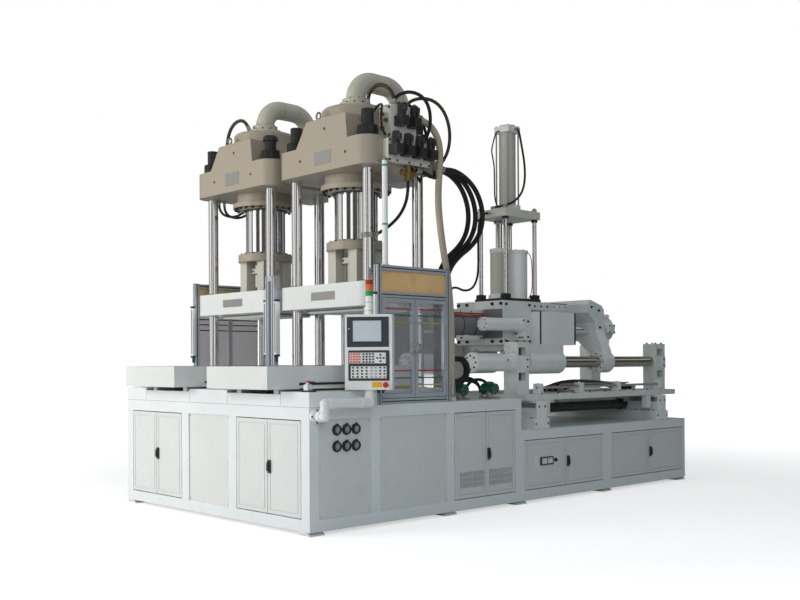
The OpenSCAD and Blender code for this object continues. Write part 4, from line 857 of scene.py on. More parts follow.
@dataclass
class Cabinet:
    """Handles, louvres, sockets, meters, seams and screws of the base cabinet."""

    half: float = 1.25
    panel_face: float = 1.24
    bay_z: float = 0.108
    bay_h: float = 0.679
    low_bay_h: float = 0.419
    lock_in: float = 0.026
    lock_out: float = 0.014
    lock_leaves: dict[str, str] = field(default_factory=lambda: {
        "front_left_door_b": "front_left_leaf_b", "front_right_door_b": "front_right_leaf_b",
        "vent_door_b": "vent_leaf_b", "rear_door_b": "rear_leaf_b", "rear_door_d": "rear_leaf_d",
    })
    louvres: dict[str, float] = field(default_factory=lambda: {"vent_leaf_a": 1.482, "vent_leaf_b": 1.824})
    louvre_w: float = 0.138
    louvre_h: float = 0.128
    louvre_z: float = 0.194
    louvre_step: float = 0.146
    fins: int = 15
    socket_ys: tuple[float, ...] = (0.245, 0.333, 0.42)
    socket_zs: tuple[float, ...] = (0.714, 0.598)
    meter_y: float = 2.405
    meter_z: float = 0.29
    side_bays: tuple[Point, ...] = ((0.082, 0.561), (0.648, 1.342), (1.42, 2.146))
    rear_bays: tuple[Point, ...] = ((2.265, 3.365), (3.497, 4.7))
    seam: float = 0.0014

    def build(self) -> None:
        """Builds every fitting of the cabinet."""
        for node, body in self.lock_leaves.items():
            self._handle(node, body)
        for body, start in self.louvres.items():
            self._louvre(body, start)
        self._sockets()
        self._meters()
        self._seams()
        self._screws()

    def _handle(self, node: str, body: str) -> None:
        """Builds a swing handle over a leaf's lock.

        Args:
            node: Leaf that carries the lock.
            body: Body of the leaf.
        """
        low, high = node_box(node)
        middle = (low.z + high.z) / 2
        if high.x - low.x > high.y - low.y:
            place = turned_place(low.x + self.lock_in, -self.lock_out, middle)
        else:
            place = turned_place(self.half + self.lock_out, low.y + self.lock_in, middle, 90)
        lever = [
            (-0.007, -0.03), (0.007, -0.03), (0.008, 0.02), (0.004, 0.032), (-0.004, 0.032), (-0.008, 0.02)
        ]
        Shape(place).box((-0.0128, -0.001, -0.0458), (0.0128, 0.0138, 0.0458), 0.001).slab(
            lever, Y_AXIS, -0.014, -0.001
        ).piece(f"{body}_handle", PLASTIC, body)
        Shape(place).rod((0, -0.001, -0.038), (0, -0.006, -0.038), 0.005).rod(
            (0, -0.013, 0.02), (0, -0.017, 0.02), 0.005
        ).piece(f"{body}_key_cylinder", ZINC, body)

    def _louvre(self, body: str, start: float) -> None:
        """Builds the two louvred fields at the foot of a vent leaf, each a dark plate of painted shade behind
        its fins.

        Args:
            body: Body of the leaf.
            start: Front edge of the first field.
        """
        opening_shades, bars = Shape(), Shape()
        w, h, rim = self.louvre_w, self.louvre_h, 0.004
        for k in range(2):
            place = turned_place(self.half, start + k * self.louvre_step, self.louvre_z, 90)
            # The dark plate stands for the shade inside the openings: painted shade.
            opening_shades.on(place).box((0, -0.0012, 0), (w, 0.001, h), 0)
            bars.on(place)
            for x in steps(rim, w - rim, self.fins):
                bars.box((x - 0.0024, -0.0045, 0.002), (x + 0.0024, -0.0008, h - 0.002), 0.0008)
            for z in (rim / 2, h / 3, h * 2 / 3, h - rim / 2):
                bars.box((0, -0.0035, z - rim / 2), (w, -0.0008, z + rim / 2), 0.0008)
        opening_shades.piece(f"{body}_louvre_opening_shade", DARK_JOINT_AND_GROOVE_SHADE, body)
        bars.piece(f"{body}_louvre_fins", PAINT, body, "paint")

    def _sockets(self) -> None:
        """Builds the six round heater sockets in the first side bay."""
        flanges, inserts, pins = Shape(), Shape(), Shape()
        for y in self.socket_ys:
            for z in self.socket_zs:
                place = turned_place(self.panel_face, y, z, 90)
                flanges.on(place).ring((0, 0, 0), OUT, 0.041, 0.027, 0.009, 8)
                flanges.ring((0, -0.008, 0), OUT, 0.034, 0.026, 0.014, 24)
                flanges.bolt_circle((0, -0.009, 0), OUT, 0.0355, 4, 0.003, 45)
                flanges.box((-0.006, -0.022, 0.03), (0.006, -0.002, 0.044))
                inserts.on(place).turned(
                    (0, 0.001, 0), OUT, [(0.0262, 0), (0.0262, 0.012), (0.024, 0.013), (0, 0.013)]
                )
                pins.on(place)
                for seat in circle((0, -0.012, 0), OUT, 0.013, 5):
                    pins.rod(seat, seat + OUT * 0.006, 0.0028, 10)
        flanges.piece("heater_socket_flanges", PLASTIC)
        inserts.piece("heater_socket_inserts", GREY_PLASTIC)
        pins.piece("heater_socket_pins", BRASS)

    def _meters(self) -> None:
        """Builds the twin meter plate on the first rear leaf."""
        place = turned_place(self.half, self.meter_y, self.meter_z, 90)
        body = "rear_leaf_a"
        Shape(place).box((0, -0.003, 0), (0.3, 0.001, 0.098)).bolts(
            product((0.012, 0.288), (-0.003,), (0.012, 0.086)), OUT, 0.0035
        ).piece("meter_plate", PALE, body, "pale_paint")
        Shape(place).box((0.058, -0.016, 0.014), (0.226, -0.002, 0.084), 0.003).turned(
            (0.262, -0.002, 0.049), OUT,
            [(0.018, 0), (0.018, 0.006), (0.013, 0.007), (0.011, 0.022), (0, 0.022)]
        ).piece("meter_bezel", PLASTIC, body)
        dials, needles = Shape(place), Shape(place)
        for x in (0.07, 0.146):
            dials.box((x, -0.0172, 0.026), (x + 0.064, -0.0155, 0.074), 0.0008)
            tip = Vector((x + 0.02, -0.0176, 0.062))
            needles.rod((x + 0.032, -0.0176, 0.034), tip, 0.0008, 6)
            for t in steps(0.008, 0.056, 7):
                needles.box((x + t - 0.0008, -0.0177, 0.062), (x + t + 0.0008, -0.017, 0.069), 0)
        dials.piece("meter_dials", IVORY, body)
        needles.piece("meter_needles", PLASTIC, body)

    def _seams(self) -> None:
        """Draws the joint lines between cabinet, beams and aprons."""
        top, apron_top, t = BASE_TOP, 0.96, self.seam / 2
        seams = Shape().box((-self.half, -0.0005, top - t), (self.half, 0.001, top + t), 0)
        for x in (-0.927, -0.2635, 0.2635, 0.927):
            seams.box((x - t, -0.0005, top), (x + t, 0.001, apron_top), 0)
        seams.box((self.half, 0, top - t), (self.half + 0.0005, 0.62, top + t), 0)
        seams.piece("bed_seams", DARK_JOINT_AND_GROOVE_SHADE)

    def _screws(self) -> None:
        """Sets the fixed panels' screws."""
        screws, edge = Shape(), 0.016
        fields = [(turned_place(-0.278, 0.01, self.bay_z), 0.556, self.bay_h)]
        for y0, y1 in self.side_bays[:2]:
            fields.append((turned_place(self.panel_face, y0, self.bay_z, 90), y1 - y0, self.bay_h))
        for bays, height in ((self.side_bays, self.bay_h), (self.rear_bays, self.low_bay_h)):
            fields += [
                (turned_place(-self.panel_face, y1, self.bay_z, -90), y1 - y0, height) for y0, y1 in bays
            ]
        for place, width, height in fields:
            rows = steps(edge, height - edge, 3)
            screws.on(place).bolts([(x, 0, z) for x in (edge, width - edge) for z in rows], OUT, 0.0038)
        screws.piece("panel_screws", ZINC)


@dataclass
class Tables:
    """T-slots and cams of the sliding tables, and the small valve on the bed."""

    slot_xs: tuple[float, ...] = (-0.23, 0.0, 0.23)
    slot_w: float = 0.022
    valve_place: Point = (1.165, 0.06, BED_TOP)

    def build(self) -> None:
        """Builds the fittings of both tables and of the bed."""
        for side in ("left", "right"):
            low, high = node_box(f"table_{side}")
            body = f"table_{side}_slide"
            middle = (low.x + high.x) / 2
            slots, lips = Shape(), Shape()
            for dx in self.slot_xs:
                x = middle + dx
                # Dark strip over each T-slot: painted shade inside the slot.
                slots.box(
                    (x - self.slot_w / 2, low.y + 0.001, high.z - 0.001),
                    (x + self.slot_w / 2, high.y, high.z + 0.0005), 0
                )
                for s in (-1, 1):
                    edge = x + s * (self.slot_w / 2 + 0.0015)
                    lips.box(
                        (edge - 0.0015, low.y + 0.001, high.z - 0.001),
                        (edge + 0.0015, high.y, high.z + 0.0009), 0
                    )
            slots.piece(f"table_{side}_slot_shade", DARK_JOINT_AND_GROOVE_SHADE, body)
            lips.piece(f"table_{side}_slot_edges", STEEL, body)
            Shape().box((high.x, 0.12, 1.022), (high.x + 0.005, 0.62, 1.04), 0.001).bolts(
                [(high.x + 0.0045, y, 1.031) for y in steps(0.14, 0.6, 4)], X_AXIS, 0.004
            ).piece(f"table_{side}_cam_strip", BLACKED, body)
        self._valve()

    def _valve(self) -> None:
        """Builds the small air valve with its lever on the bed's front corner."""
        x, y, z = self.valve_place
        Shape().box((x - 0.065, y - 0.018, z), (x + 0.07, y + 0.018, z + 0.01)).rod(
            (x - 0.095, y, z + 0.018), (x - 0.03, y, z + 0.018), 0.007
        ).piece("air_valve_rail", BLACKED)
        Shape().box((x - 0.03, y - 0.022, z + 0.01), (x + 0.02, y + 0.022, z + 0.052), 0.004).rod(
            (x - 0.005, y, z + 0.05), (x - 0.005, y, z + 0.066), 0.013
        ).piece("air_valve_body", IVORY)
        Shape().box((x - 0.018, y - 0.013, z + 0.064), (x + 0.014, y + 0.013, z + 0.075), 0.003).piece(
            "air_valve_cap", RED
        )
        Shape().slab(
            [(x + 0.01, z + 0.062), (x + 0.07, z + 0.066), (x + 0.07, z + 0.074), (x + 0.01, z + 0.072)],
            Y_AXIS, y - 0.008, y + 0.008,
        ).piece("air_valve_lever", PLASTIC)


@dataclass
class Press:
    """Nuts, bare plates, glands, rings and pipe fittings of one press."""

    side: str
    x: float
    y: float = 0.987
    column_dx: float = 0.43
    column_dy: float = 0.2565
    head_front: float = 0.6105
    head_top: float = 2.85
    drum_top: float = 3.165
    boss_z: float = 2.52
    ram_flange_top: float = 2.118
    platen_top: float = 1.777
    spacer_top: float = 2.055
    pipe_z: float = 3.416
    pipe_bend: float = 0.17
    pipe_drop: float = 0.483
    block_back: float = 1.5935
    block_top: float = 2.825

    @property
    def body(self) -> str:
        """Name of the moving body."""
        return f"press_{self.side}"

    @property
    def columns(self) -> list[tuple[float, float]]:
        """Places of the four columns."""
        return [
            (self.x + sx * self.column_dx, self.y + sy * self.column_dy) for sx in (-1, 1) for sy in (-1, 1)
        ]

    def build(self) -> None:
        """Builds every fitting of the press."""
        self._nuts()
        self._plates()
        self._gland()
        self._ram()
        self._platen()
        self._pipe()

    def _nuts(self) -> None:
        """Builds the spanner ribs of the column nuts and the rings at the columns' feet."""
        ribs, feet = Shape(), Shape()
        for cx, cy in self.columns:
            for k in range(16):
                ribs.on(turned_place(cx, cy, self.head_top, k * 22.5))
                ribs.box((-0.0085, -0.0775, 0.004), (0.0085, -0.072, 0.072), 0.0015)
            ribs.on(Matrix.Identity(4)).ring(
                (cx, cy, self.head_top + 0.074), Z_AXIS, 0.0765, 0.047, 0.011, 40
            )
            ribs.ring((cx, cy, self.head_top + 0.195), Z_AXIS, 0.0495, 0.03, 0.012, 36)
            feet.ring((cx, cy, BED_TOP), Z_AXIS, 0.06, 0.0427, 0.008, 40)
        if self.side == "left":
            cx, cy = self.columns[2]
            ribs.ring((cx, cy, self.head_top + 0.165), Z_AXIS, 0.062, 0.047, 0.03, 40)
        ribs.piece(f"{self.side}_nut_ribs", BLACKED, MACHINE, "black")
        feet.piece(f"{self.side}_column_foot_rings", STEEL)

    def _plates(self) -> None:
        """Builds the bare plates and plugs on the crosshead and the platen, and the lifting eye."""
        x, front = self.x, self.head_front
        Shape().box((x - 0.055, front - 0.002, 2.69), (x + 0.145, front + 0.001, 2.791), 0.0008).bolts(
            [(x + dx, front - 0.002, z) for dx in (-0.047, 0.137) for z in (2.698, 2.783)], OUT, 0.0025
        ).piece(f"{self.side}_crosshead_plate", PLATE)
        Shape().box((x - 0.1, front - 0.002, 1.656), (x + 0.186, front + 0.001, 1.72), 0.0008).bolts(
            [(x + dx, front - 0.002, z) for dx in (-0.092, 0.178) for z in (1.664, 1.712)], OUT, 0.0025
        ).piece(f"{self.side}_platen_plate", PLATE, self.body)
        plugs = Shape()
        for dx, z in ((-0.23, 2.75), (0.07, 2.956), (0.313, 2.745)):
            plugs.turned(
                (x + dx, front + 0.001, z), OUT,
                [(0.0115, 0), (0.0115, 0.002), (0.007, 0.0015), (0, 0.0012)], 18
            )
        plugs.piece(f"{self.side}_crosshead_plugs", DARK_JOINT_AND_GROOVE_SHADE)
        eye_x, eye_y, eye_z = x - 0.06, 0.66, 3.04
        ring = [Vector((eye_x + 0.026 * math.cos(a), eye_y, eye_z + 0.042 + 0.026 * math.sin(a)))
                for a in (math.pi * i / 12 for i in range(-5, 18))]
        Shape().rod((eye_x, eye_y, eye_z), (eye_x, eye_y, eye_z + 0.02), 0.02).sweep(ring, 0.008, 10).piece(
            f"{self.side}_lifting_eye", ZINC
        )

    def _gland(self) -> None:
        """Builds the bolt circle and the gland ring under the main cylinder."""
        foot = (self.x, self.y, self.boss_z)
        Shape().bolt_circle(foot, -Z_AXIS, 0.259, 24, 0.015).piece(f"{self.side}_gland_bolts", BLACKED)
        Shape().ring(foot, -Z_AXIS, 0.222, 0.174, 0.014, 64).piece(
            f"{self.side}_gland_ring", PRESS_PAINT, MACHINE, "paint"
        )
        Shape().ring((self.x, self.y, self.boss_z - 0.014), -Z_AXIS, 0.19, 0.1735, 0.006, 64).piece(
            f"{self.side}_gland_wiper", PLASTIC
        )

    def _ram(self) -> None:
        """Builds the clamp ring and bolts on the ram's flange, and the ejector rod's sleeve."""
        top = Vector((self.x, self.y, self.ram_flange_top))
        Shape().ring((self.x, self.y, self.spacer_top - 0.0005), Z_AXIS, 0.2362, 0.1705, 0.0645, 72).ring(
            top, Z_AXIS, 0.186, 0.1705, 0.018, 64
        ).piece(f"{self.side}_ram_clamp", PRESS_PAINT, self.body, "paint")
        Shape().bolt_circle(
            top + Z_AXIS * 0.001, Z_AXIS, 0.211, 16, 0.011
        ).piece(f"{self.side}_ram_bolts", BLACKED, self.body)
        rod = Shape()
        rod.ring((self.x, self.y, self.platen_top), Z_AXIS, 0.0362, 0.0345, 0.18, 32)
        rod.ring((self.x, self.y, self.platen_top + 0.225), Z_AXIS, 0.0362, 0.0345, 0.053, 32)
        rod.ring((self.x, self.y, self.platen_top + 0.165), Z_AXIS, 0.058, 0.036, 0.014, 6)
        rod.piece(f"{self.side}_ejector_rod", CHROME, self.body)

    def _platen(self) -> None:
        """Builds the column wipers, the insulating board and the bolts of the moving platen."""
        wipers, bolts = Shape(), Shape()
        for cx, cy in self.columns:
            wipers.ring((cx, cy, self.platen_top), Z_AXIS, 0.074, 0.0445, 0.012, 40)
            bolts.bolt_circle((cx, cy, self.platen_top + 0.012), Z_AXIS, 0.062, 6, 0.005, 30)
        wipers.piece(f"{self.side}_platen_wipers", STEEL, self.body)
        for dx in (-0.125, 0.125):
            for dy in (-0.1, 0.1):
                sx, sy = math.copysign(1, dx), math.copysign(1, dy)
                bolts.bolt((self.x + dx + sx * 0.066, self.y + dy, self.platen_top), Z_AXIS, 0.011)
                bolts.bolt((self.x + dx, self.y + dy + sy * 0.066, self.platen_top), Z_AXIS, 0.011)
        bolts.bolts([(self.x + dx, self.y - 0.1, 1.9795) for dx in (-0.045, 0.045)], OUT, 0.012)
        bolts.piece(f"{self.side}_platen_bolts", ZINC, self.body)
        Shape().box(
            (self.x - 0.372, self.y - 0.207, 1.5865), (self.x + 0.372, self.y + 0.207, 1.5965)
        ).piece(f"{self.side}_insulating_board", BOARD, self.body)

    def _pipe(self) -> None:
        """Builds the bolts, weld beads and foot flange of the prefill pipe."""
        x, y = self.x, self.y
        bend_z, drop_y = self.pipe_z - self.pipe_bend, y + self.pipe_drop
        bolts = Shape().bolt_circle((x, y, self.drum_top + 0.038), Z_AXIS, 0.1265, 12, 0.011)
        bolts.bolt_circle((x, y, bend_z), Z_AXIS, 0.0935, 8, 0.0085, 22)
        bolts.bolt_circle((x, drop_y, self.block_top + 0.03), Z_AXIS, 0.101, 8, 0.01)
        bolts.bolts(
            [(x + dx, self.block_back, z) for dx in (-0.1, 0.1) for z in (2.665, 2.795)], Y_AXIS, 0.013
        )
        bolts.piece(f"{self.side}_pipe_bolts", BLACKED)
        welds = Shape().ring((x, drop_y, self.block_top), Z_AXIS, 0.119, 0.0775, 0.03, 40)
        welds.ring((x, drop_y, bend_z - 0.004), Z_AXIS, 0.0815, 0.077, 0.008, 40)
        arc = [math.radians(a) for a in steps(25, 335, 32)]
        for wy in (y + self.pipe_bend, drop_y - self.pipe_bend):
            bead = [(x + 0.0775 * math.sin(a), wy, self.pipe_z + 0.0775 * math.cos(a)) for a in arc]
            welds.sweep(bead, 0.0022, 6)
        welds.piece(f"{self.side}_pipe_flange", PRESS_PAINT, MACHINE, "paint")


@dataclass
class ValveGroup:
    """Coils, plugs, fittings and lines of the valves on the right press, and the safety rod."""

    plate_face: float = 1.216
    plate_valves: tuple[float, ...] = (0.772, 0.8913, 1.0107, 1.13)
    plate_z: float = 2.74
    tower_face: float = 1.156
    tower_valves: tuple[float, ...] = (0.887, 1.017)
    tower_z: float = 2.975
    valve_w: float = 0.072
    rod_place: Point = (1.205, 0.745, 1.89)
    rod_top: float = 2.655

    def build(self) -> None:
        """Builds every fitting of the valve group."""
        self._coils()
        self._fittings()
        self._lines()
        self._rod()

    def _coils(self) -> None:
        """Builds coil rings, caps and plugs on every valve."""
        rings, plugs, caps = Shape(), Shape(), Shape()
        spots = [(self.plate_face, y, self.plate_z) for y in self.plate_valves]
        spots += [(self.tower_face, y, self.tower_z) for y in self.tower_valves]
        for x, y, z in spots:
            cx, cy, foot = x + 0.045, y + self.valve_w / 2, z + 0.036
            for dz in (0.006, 0.026, 0.046, 0.066):
                rings.ring((cx, cy, foot + dz), Z_AXIS, 0.0315, 0.026, 0.012, 28)
            plugs.box((cx + 0.024, cy - 0.014, foot + 0.03), (cx + 0.052, cy + 0.014, foot + 0.074), 0.003)
            plugs.rod((cx + 0.04, cy, foot + 0.031), (cx + 0.04, cy, foot + 0.01), 0.007)
            caps.turned(
                (cx, cy, foot + 0.09), Z_AXIS, [(0.014, 0), (0.014, 0.01), (0.011, 0.013), (0, 0.013)], 6
            )
            caps.bolts(
                [(x + dx, y + dy, z + 0.036) for dx in (0.01, 0.08) for dy in (0.01, 0.062)], Z_AXIS, 0.004
            )
        rings.piece("valve_coil_rings", PLASTIC, MACHINE, "black")
        plugs.piece("valve_plugs", PLASTIC, MACHINE, "black")
        caps.piece("valve_caps", ZINC)

    def _fittings(self) -> None:
        """Builds the brass tee under the valve plate, the tower's plugs and the manifold's bolts."""
        Shape().rod((1.186, 1.0, 2.655), (1.186, 1.0, 2.56), 0.024).rod(
            (1.186, 0.945, 2.595), (1.186, 1.06, 2.595), 0.02
        ).turned(
            (1.186, 1.0, 2.56), -Z_AXIS, [(0.03, 0), (0.03, 0.024), (0.022, 0.026), (0, 0.026)], 6
        ).turned(
            (1.186, 1.05, 2.595), Y_AXIS, [(0.027, 0), (0.027, 0.022), (0.018, 0.024), (0, 0.024)], 6
        ).turned(
            (1.186, 0.955, 2.595), OUT, [(0.027, 0), (0.027, 0.022), (0.018, 0.024), (0, 0.024)], 6
        ).piece("valve_tee", BRASS)
        bolts = Shape().bolts(product((1.043, 1.139), (0.857,), (2.872, 3.078)), OUT, 0.009)
        bolts.bolts(product((1.043, 1.139), (0.875, 1.099), (3.1,)), Z_AXIS, 0.009)
        bolts.bolts(
            product((1.216,), (0.785, 0.86, 0.982, 1.101, 1.19), (2.668, 2.812)), X_AXIS, 0.008
        )
        bolts.bolts(product((0.981, 1.093), (1.4235,), (2.662, 2.738)), Y_AXIS, 0.006)
        bolts.piece("valve_block_bolts", BLACKED)
        plugs = Shape()
        for x, z in ((1.07, 2.93), (1.112, 2.985), (1.07, 3.035)):
            plugs.adapter((x, 0.857, z), OUT, (0.016, 0.014), (0.01, 0.03))
        plugs.piece("valve_tower_adapters", BRASS)

    def _lines(self) -> None:
        """Runs the small hoses between cylinder, tower and manifold."""
        Line("pilot_hose_rear", (
            (0.874, 1.0, 3.1), (0.905, 1.006, 3.112), (0.94, 1.03, 3.14), (0.968, 1.08, 3.17),
            (0.985, 1.15, 3.182), (0.994, 1.225, 3.165), (0.998, 1.295, 3.115), (1.0, 1.35, 3.04),
            (1.0, 1.382, 2.95), (1.0, 1.393, 2.85), (1.0, 1.394, 2.79), (1.0, 1.394, 2.75),
        ), 0.024).build()
        Line("pilot_hose_front", (
            (0.868, 0.93, 3.09), (0.9, 0.915, 3.098), (0.95, 0.895, 3.115), (1.01, 0.872, 3.12),
            (1.07, 0.84, 3.105), (1.118, 0.8, 3.068), (1.14, 0.772, 3.01), (1.15, 0.765, 2.94),
            (1.16, 0.775, 2.88), (1.175, 0.792, 2.845), (1.186, 0.8, 2.825),
        ), 0.018).build()
        Line("drain_hose_left", (
            (-0.64, 0.85, 3.19), (-0.65, 0.838, 3.23), (-0.68, 0.832, 3.27), (-0.73, 0.835, 3.298),
            (-0.795, 0.84, 3.308), (-0.865, 0.845, 3.298), (-0.94, 0.855, 3.262), (-1.005, 0.87, 3.2),
            (-1.05, 0.89, 3.115), (-1.072, 0.915, 3.02), (-1.078, 0.935, 2.93), (-1.078, 0.94, 2.85),
        ), 0.03, BROWN_HOSE).build()
        Line("bleed_hose_right", (
            (0.79, 0.95, 3.165), (0.793, 0.95, 3.205), (0.806, 0.95, 3.246), (0.834, 0.95, 3.279),
            (0.876, 0.95, 3.298), (0.924, 0.95, 3.301), (0.974, 0.95, 3.287), (1.022, 0.95, 3.258),
            (1.062, 0.95, 3.218), (1.088, 0.95, 3.17), (1.098, 0.95, 3.13), (1.1, 0.95, 3.1),
        ), 0.03, BROWN_HOSE).build()
        Line("tower_hose_outer", (
            (1.136, 0.905, 3.1), (1.139, 0.91, 3.135), (1.152, 0.926, 3.166), (1.178, 0.956, 3.188),
            (1.208, 0.994, 3.197), (1.236, 1.036, 3.19), (1.257, 1.078, 3.168), (1.268, 1.116, 3.13),
            (1.268, 1.146, 3.078), (1.258, 1.166, 3.018), (1.24, 1.178, 2.962), (1.219, 1.18, 2.915),
            (1.201, 1.177, 2.876), (1.19, 1.173, 2.847), (1.186, 1.17, 2.826),
        ), 0.026).build()
        Line("tower_hose_inner", (
            (1.066, 1.095, 3.1), (1.068, 1.102, 3.136), (1.082, 1.122, 3.168), (1.11, 1.158, 3.19),
            (1.144, 1.204, 3.198), (1.178, 1.256, 3.188), (1.204, 1.306, 3.158), (1.22, 1.35, 3.108),
            (1.226, 1.386, 3.042), (1.224, 1.41, 2.966), (1.212, 1.422, 2.892), (1.192, 1.424, 2.824),
            (1.166, 1.416, 2.768), (1.136, 1.404, 2.726), (1.102, 1.396, 2.706),
        ), 0.026, BROWN_HOSE).build()
        for i, (x, z) in enumerate(((1.176, 2.634), (1.2, 2.626))):
            Line(f"tee_hose_side_{i}", (
                (x, 1.052 + 0.02 * i, z), (x, 1.11, z - 0.002), (x, 1.16, z - 0.012),
                (x - 0.002, 1.21, z - 0.024), (x - 0.01, 1.262, z - 0.03), (x - 0.026, 1.31, z - 0.024),
                (x - 0.05, 1.35, z - 0.002), (x - 0.076, 1.378, z + 0.03),
                (1.102, 1.398 + 0.012 * i, z + 0.052),
            ), 0.03).build()
        Line("tee_hose_front", (
            (1.186, 1.0, 2.652), (1.186, 1.0, 2.6), (1.186, 1.0, 2.54), (1.184, 0.998, 2.47),
            (1.178, 0.99, 2.4), (1.165, 0.97, 2.332), (1.145, 0.936, 2.268), (1.118, 0.89, 2.212),
            (1.092, 0.842, 2.17), (1.072, 0.802, 2.142), (1.056, 0.766, 2.124),
        ), 0.024).build()
        for name, finish, dx, dy in (("a", BROWN_HOSE, 0.0, 0.0), ("b", HOSE, -0.03, 0.075)):
            Line(f"loop_hose_left_{name}", [(x + dx, y + dy, z) for x, y, z in (
                (-1.08, 0.82, 2.633), (-1.08, 0.822, 2.592), (-1.073, 0.83, 2.55), (-1.052, 0.85, 2.515),
                (-1.018, 0.884, 2.496), (-0.982, 0.92, 2.496), (-0.95, 0.954, 2.513),
                (-0.926, 0.984, 2.546), (-0.914, 1.008, 2.588), (-0.91, 1.018, 2.633),
            )], 0.022, finish).build()
        Shape().ring((1.036, 0.7305, 2.106), Z_AXIS, 0.052, 0.0424, 0.036, 32).piece("column_clamp", ZINC)

    def _rod(self) -> None:
        """Builds the banded white rod between the guard and the crosshead."""
        x, y, foot = self.rod_place
        Shape().rod(
            (x, y, foot), (x, y, self.rod_top), 0.021, 28
        ).ring((x, y, foot), Z_AXIS, 0.03, 0.02, 0.01).piece("safety_rod", WHITE, MACHINE, "white_paint")
        bands = Shape()
        for z in (2.18, 2.61):
            bands.ring((x, y, z), Z_AXIS, 0.0216, 0.0205, 0.018, 28)
        bands.piece("safety_rod_bands", GREEN)
        Shape().box((1.15, y - 0.02, self.rod_top), (x + 0.026, y + 0.02, self.rod_top + 0.014)).bolts(
            [(x, y, self.rod_top + 0.014)], Z_AXIS, 0.009
        ).piece("safety_rod_bracket", ZINC)


@dataclass
class SideGuards:
    """Profile grooves, tapes, latch and brackets of the side guards and gates."""

    face: float = 1.235
    inner: float = 1.195
    posts: tuple[float, ...] = (0.66, 1.375)
    rails: tuple[float, ...] = (0.895, 1.675, 1.87)
    foot: float = BASE_TOP
    top: float = 1.89
    groove: float = 0.008
    tape_zs: tuple[float, ...] = (1.574, 1.527, 1.476, 1.118, 1.064, 1.011)
    tape_h: float = 0.009
    sheets: dict[str, Point] = field(
        default_factory=lambda: {"gate_a": (0.714, 0.9865), "gate_b": (1.0485, 1.321)}
    )
    far_sheets: tuple[Point, ...] = ((0.68, 0.9975), (1.0375, 1.355))
    latch_z: float = 1.29

    def build(self) -> None:
        """Builds every fitting of the guards."""
        self._grooves()
        self._tapes()
        self._latch()
        self._brackets()

    def _grooves(self) -> None:
        """Draws the profiles' grooves on both faces of both guards as dark strips of painted shade, and caps
        the posts.
        """
        grooves, caps, g = Shape(), Shape(), self.groove / 2
        for s in (-1, 1):
            # Each groove is a dark strip: painted shade inside the profile's groove.
            for x in (s * self.face, s * self.inner):
                low, high = x - 0.0005, x + 0.0005
                for y in self.posts:
                    grooves.box((low, y - g, self.foot), (high, y + g, self.top), 0)
                for z in self.rails:
                    grooves.box((low, self.posts[0] + 0.02, z - g), (high, self.posts[1] - 0.02, z + g), 0)
            middle = s * (self.face + self.inner) / 2
            for y, edge in ((self.posts[0], -0.02), (self.posts[1], 0.02)):
                spans = ((self.foot, 1.225), (1.695, self.top)) if edge < 0 else ((self.foot, self.top),)
                for z0, z1 in spans:
                    grooves.box((middle - g, y + edge - 0.0005, z0), (middle + g, y + edge + 0.0005, z1), 0)
                caps.box(
                    (middle - 0.02, y - 0.02, self.top), (middle + 0.02, y + 0.02, self.top + 0.004), 0.001
                )
        grooves.piece("guard_groove_shade", DARK_JOINT_AND_GROOVE_SHADE)
        caps.piece("guard_post_caps", PLASTIC)

    def _tapes(self) -> None:
        """Lays the coloured tapes across the clear sheets."""
        finishes = (RED_TAPE, GREEN_TAPE, YELLOW_TAPE) * 2
        for body, (y0, y1) in self.sheets.items():
            for i, (z, finish) in enumerate(zip(self.tape_zs, finishes)):
                Shape().box((1.2234, y0, z - self.tape_h / 2), (1.2238, y1, z + self.tape_h / 2), 0).piece(
                    f"{body}_tape_{i}", finish, body
                )
        for i, (z, finish) in enumerate(zip(self.tape_zs, finishes)):
            tape = Shape()
            for y0, y1 in self.far_sheets:
                tape.box((-1.2129, y0, z - self.tape_h / 2), (-1.2125, y1, z + self.tape_h / 2), 0)
            tape.piece(f"far_guard_tape_{i}", finish)

    def _latch(self) -> None:
        """Builds the latch where the gate leaves meet, and the leaves' pulls."""
        z = self.latch_z
        for body, y0, y1 in (("gate_a", 0.962, 1.0135), ("gate_b", 1.0215, 1.073)):
            Shape().box((self.face, y0, z - 0.045), (self.face + 0.016, y1, z + 0.03), 0.003).bolts(
                [
                    (self.face + 0.016, y, zz) for y in (y0 + 0.01, y1 - 0.01)
                    for zz in (z - 0.035, z + 0.02)
                ],
                X_AXIS, 0.0035,
            ).piece(f"{body}_latch", GREY_PLASTIC, body)
            grip_y = (y0 + y1) / 2
            pull = [(self.face + 0.016, grip_y, z - 0.035), (self.face + 0.036, grip_y, z - 0.028),
                    (self.face + 0.04, grip_y, z - 0.01), (self.face + 0.036, grip_y, z + 0.01),
                    (self.face + 0.016, grip_y, z + 0.02)]
            Shape().sweep(smooth_path(pull, 4), 0.006, 10).piece(f"{body}_pull", ZINC, body)

    def _brackets(self) -> None:
        """Sets the angle brackets at the rear posts' feet."""
        brackets = Shape()
        for s in (-1, 1):
            middle = s * (self.face + self.inner) / 2
            brackets.box(
                (middle - 0.018, 1.395, self.foot), (middle + 0.018, 1.435, self.foot + 0.006), 0.001
            )
            brackets.box(
                (middle - 0.018, 1.395, self.foot), (middle + 0.018, 1.401, self.foot + 0.044), 0.001
            )
            brackets.bolts([(middle, 1.417, self.foot + 0.006)], Z_AXIS, 0.007)
            brackets.bolts([(middle, 1.401, self.foot + 0.028)], Y_AXIS, 0.007)
        brackets.piece("guard_brackets", ZINC)


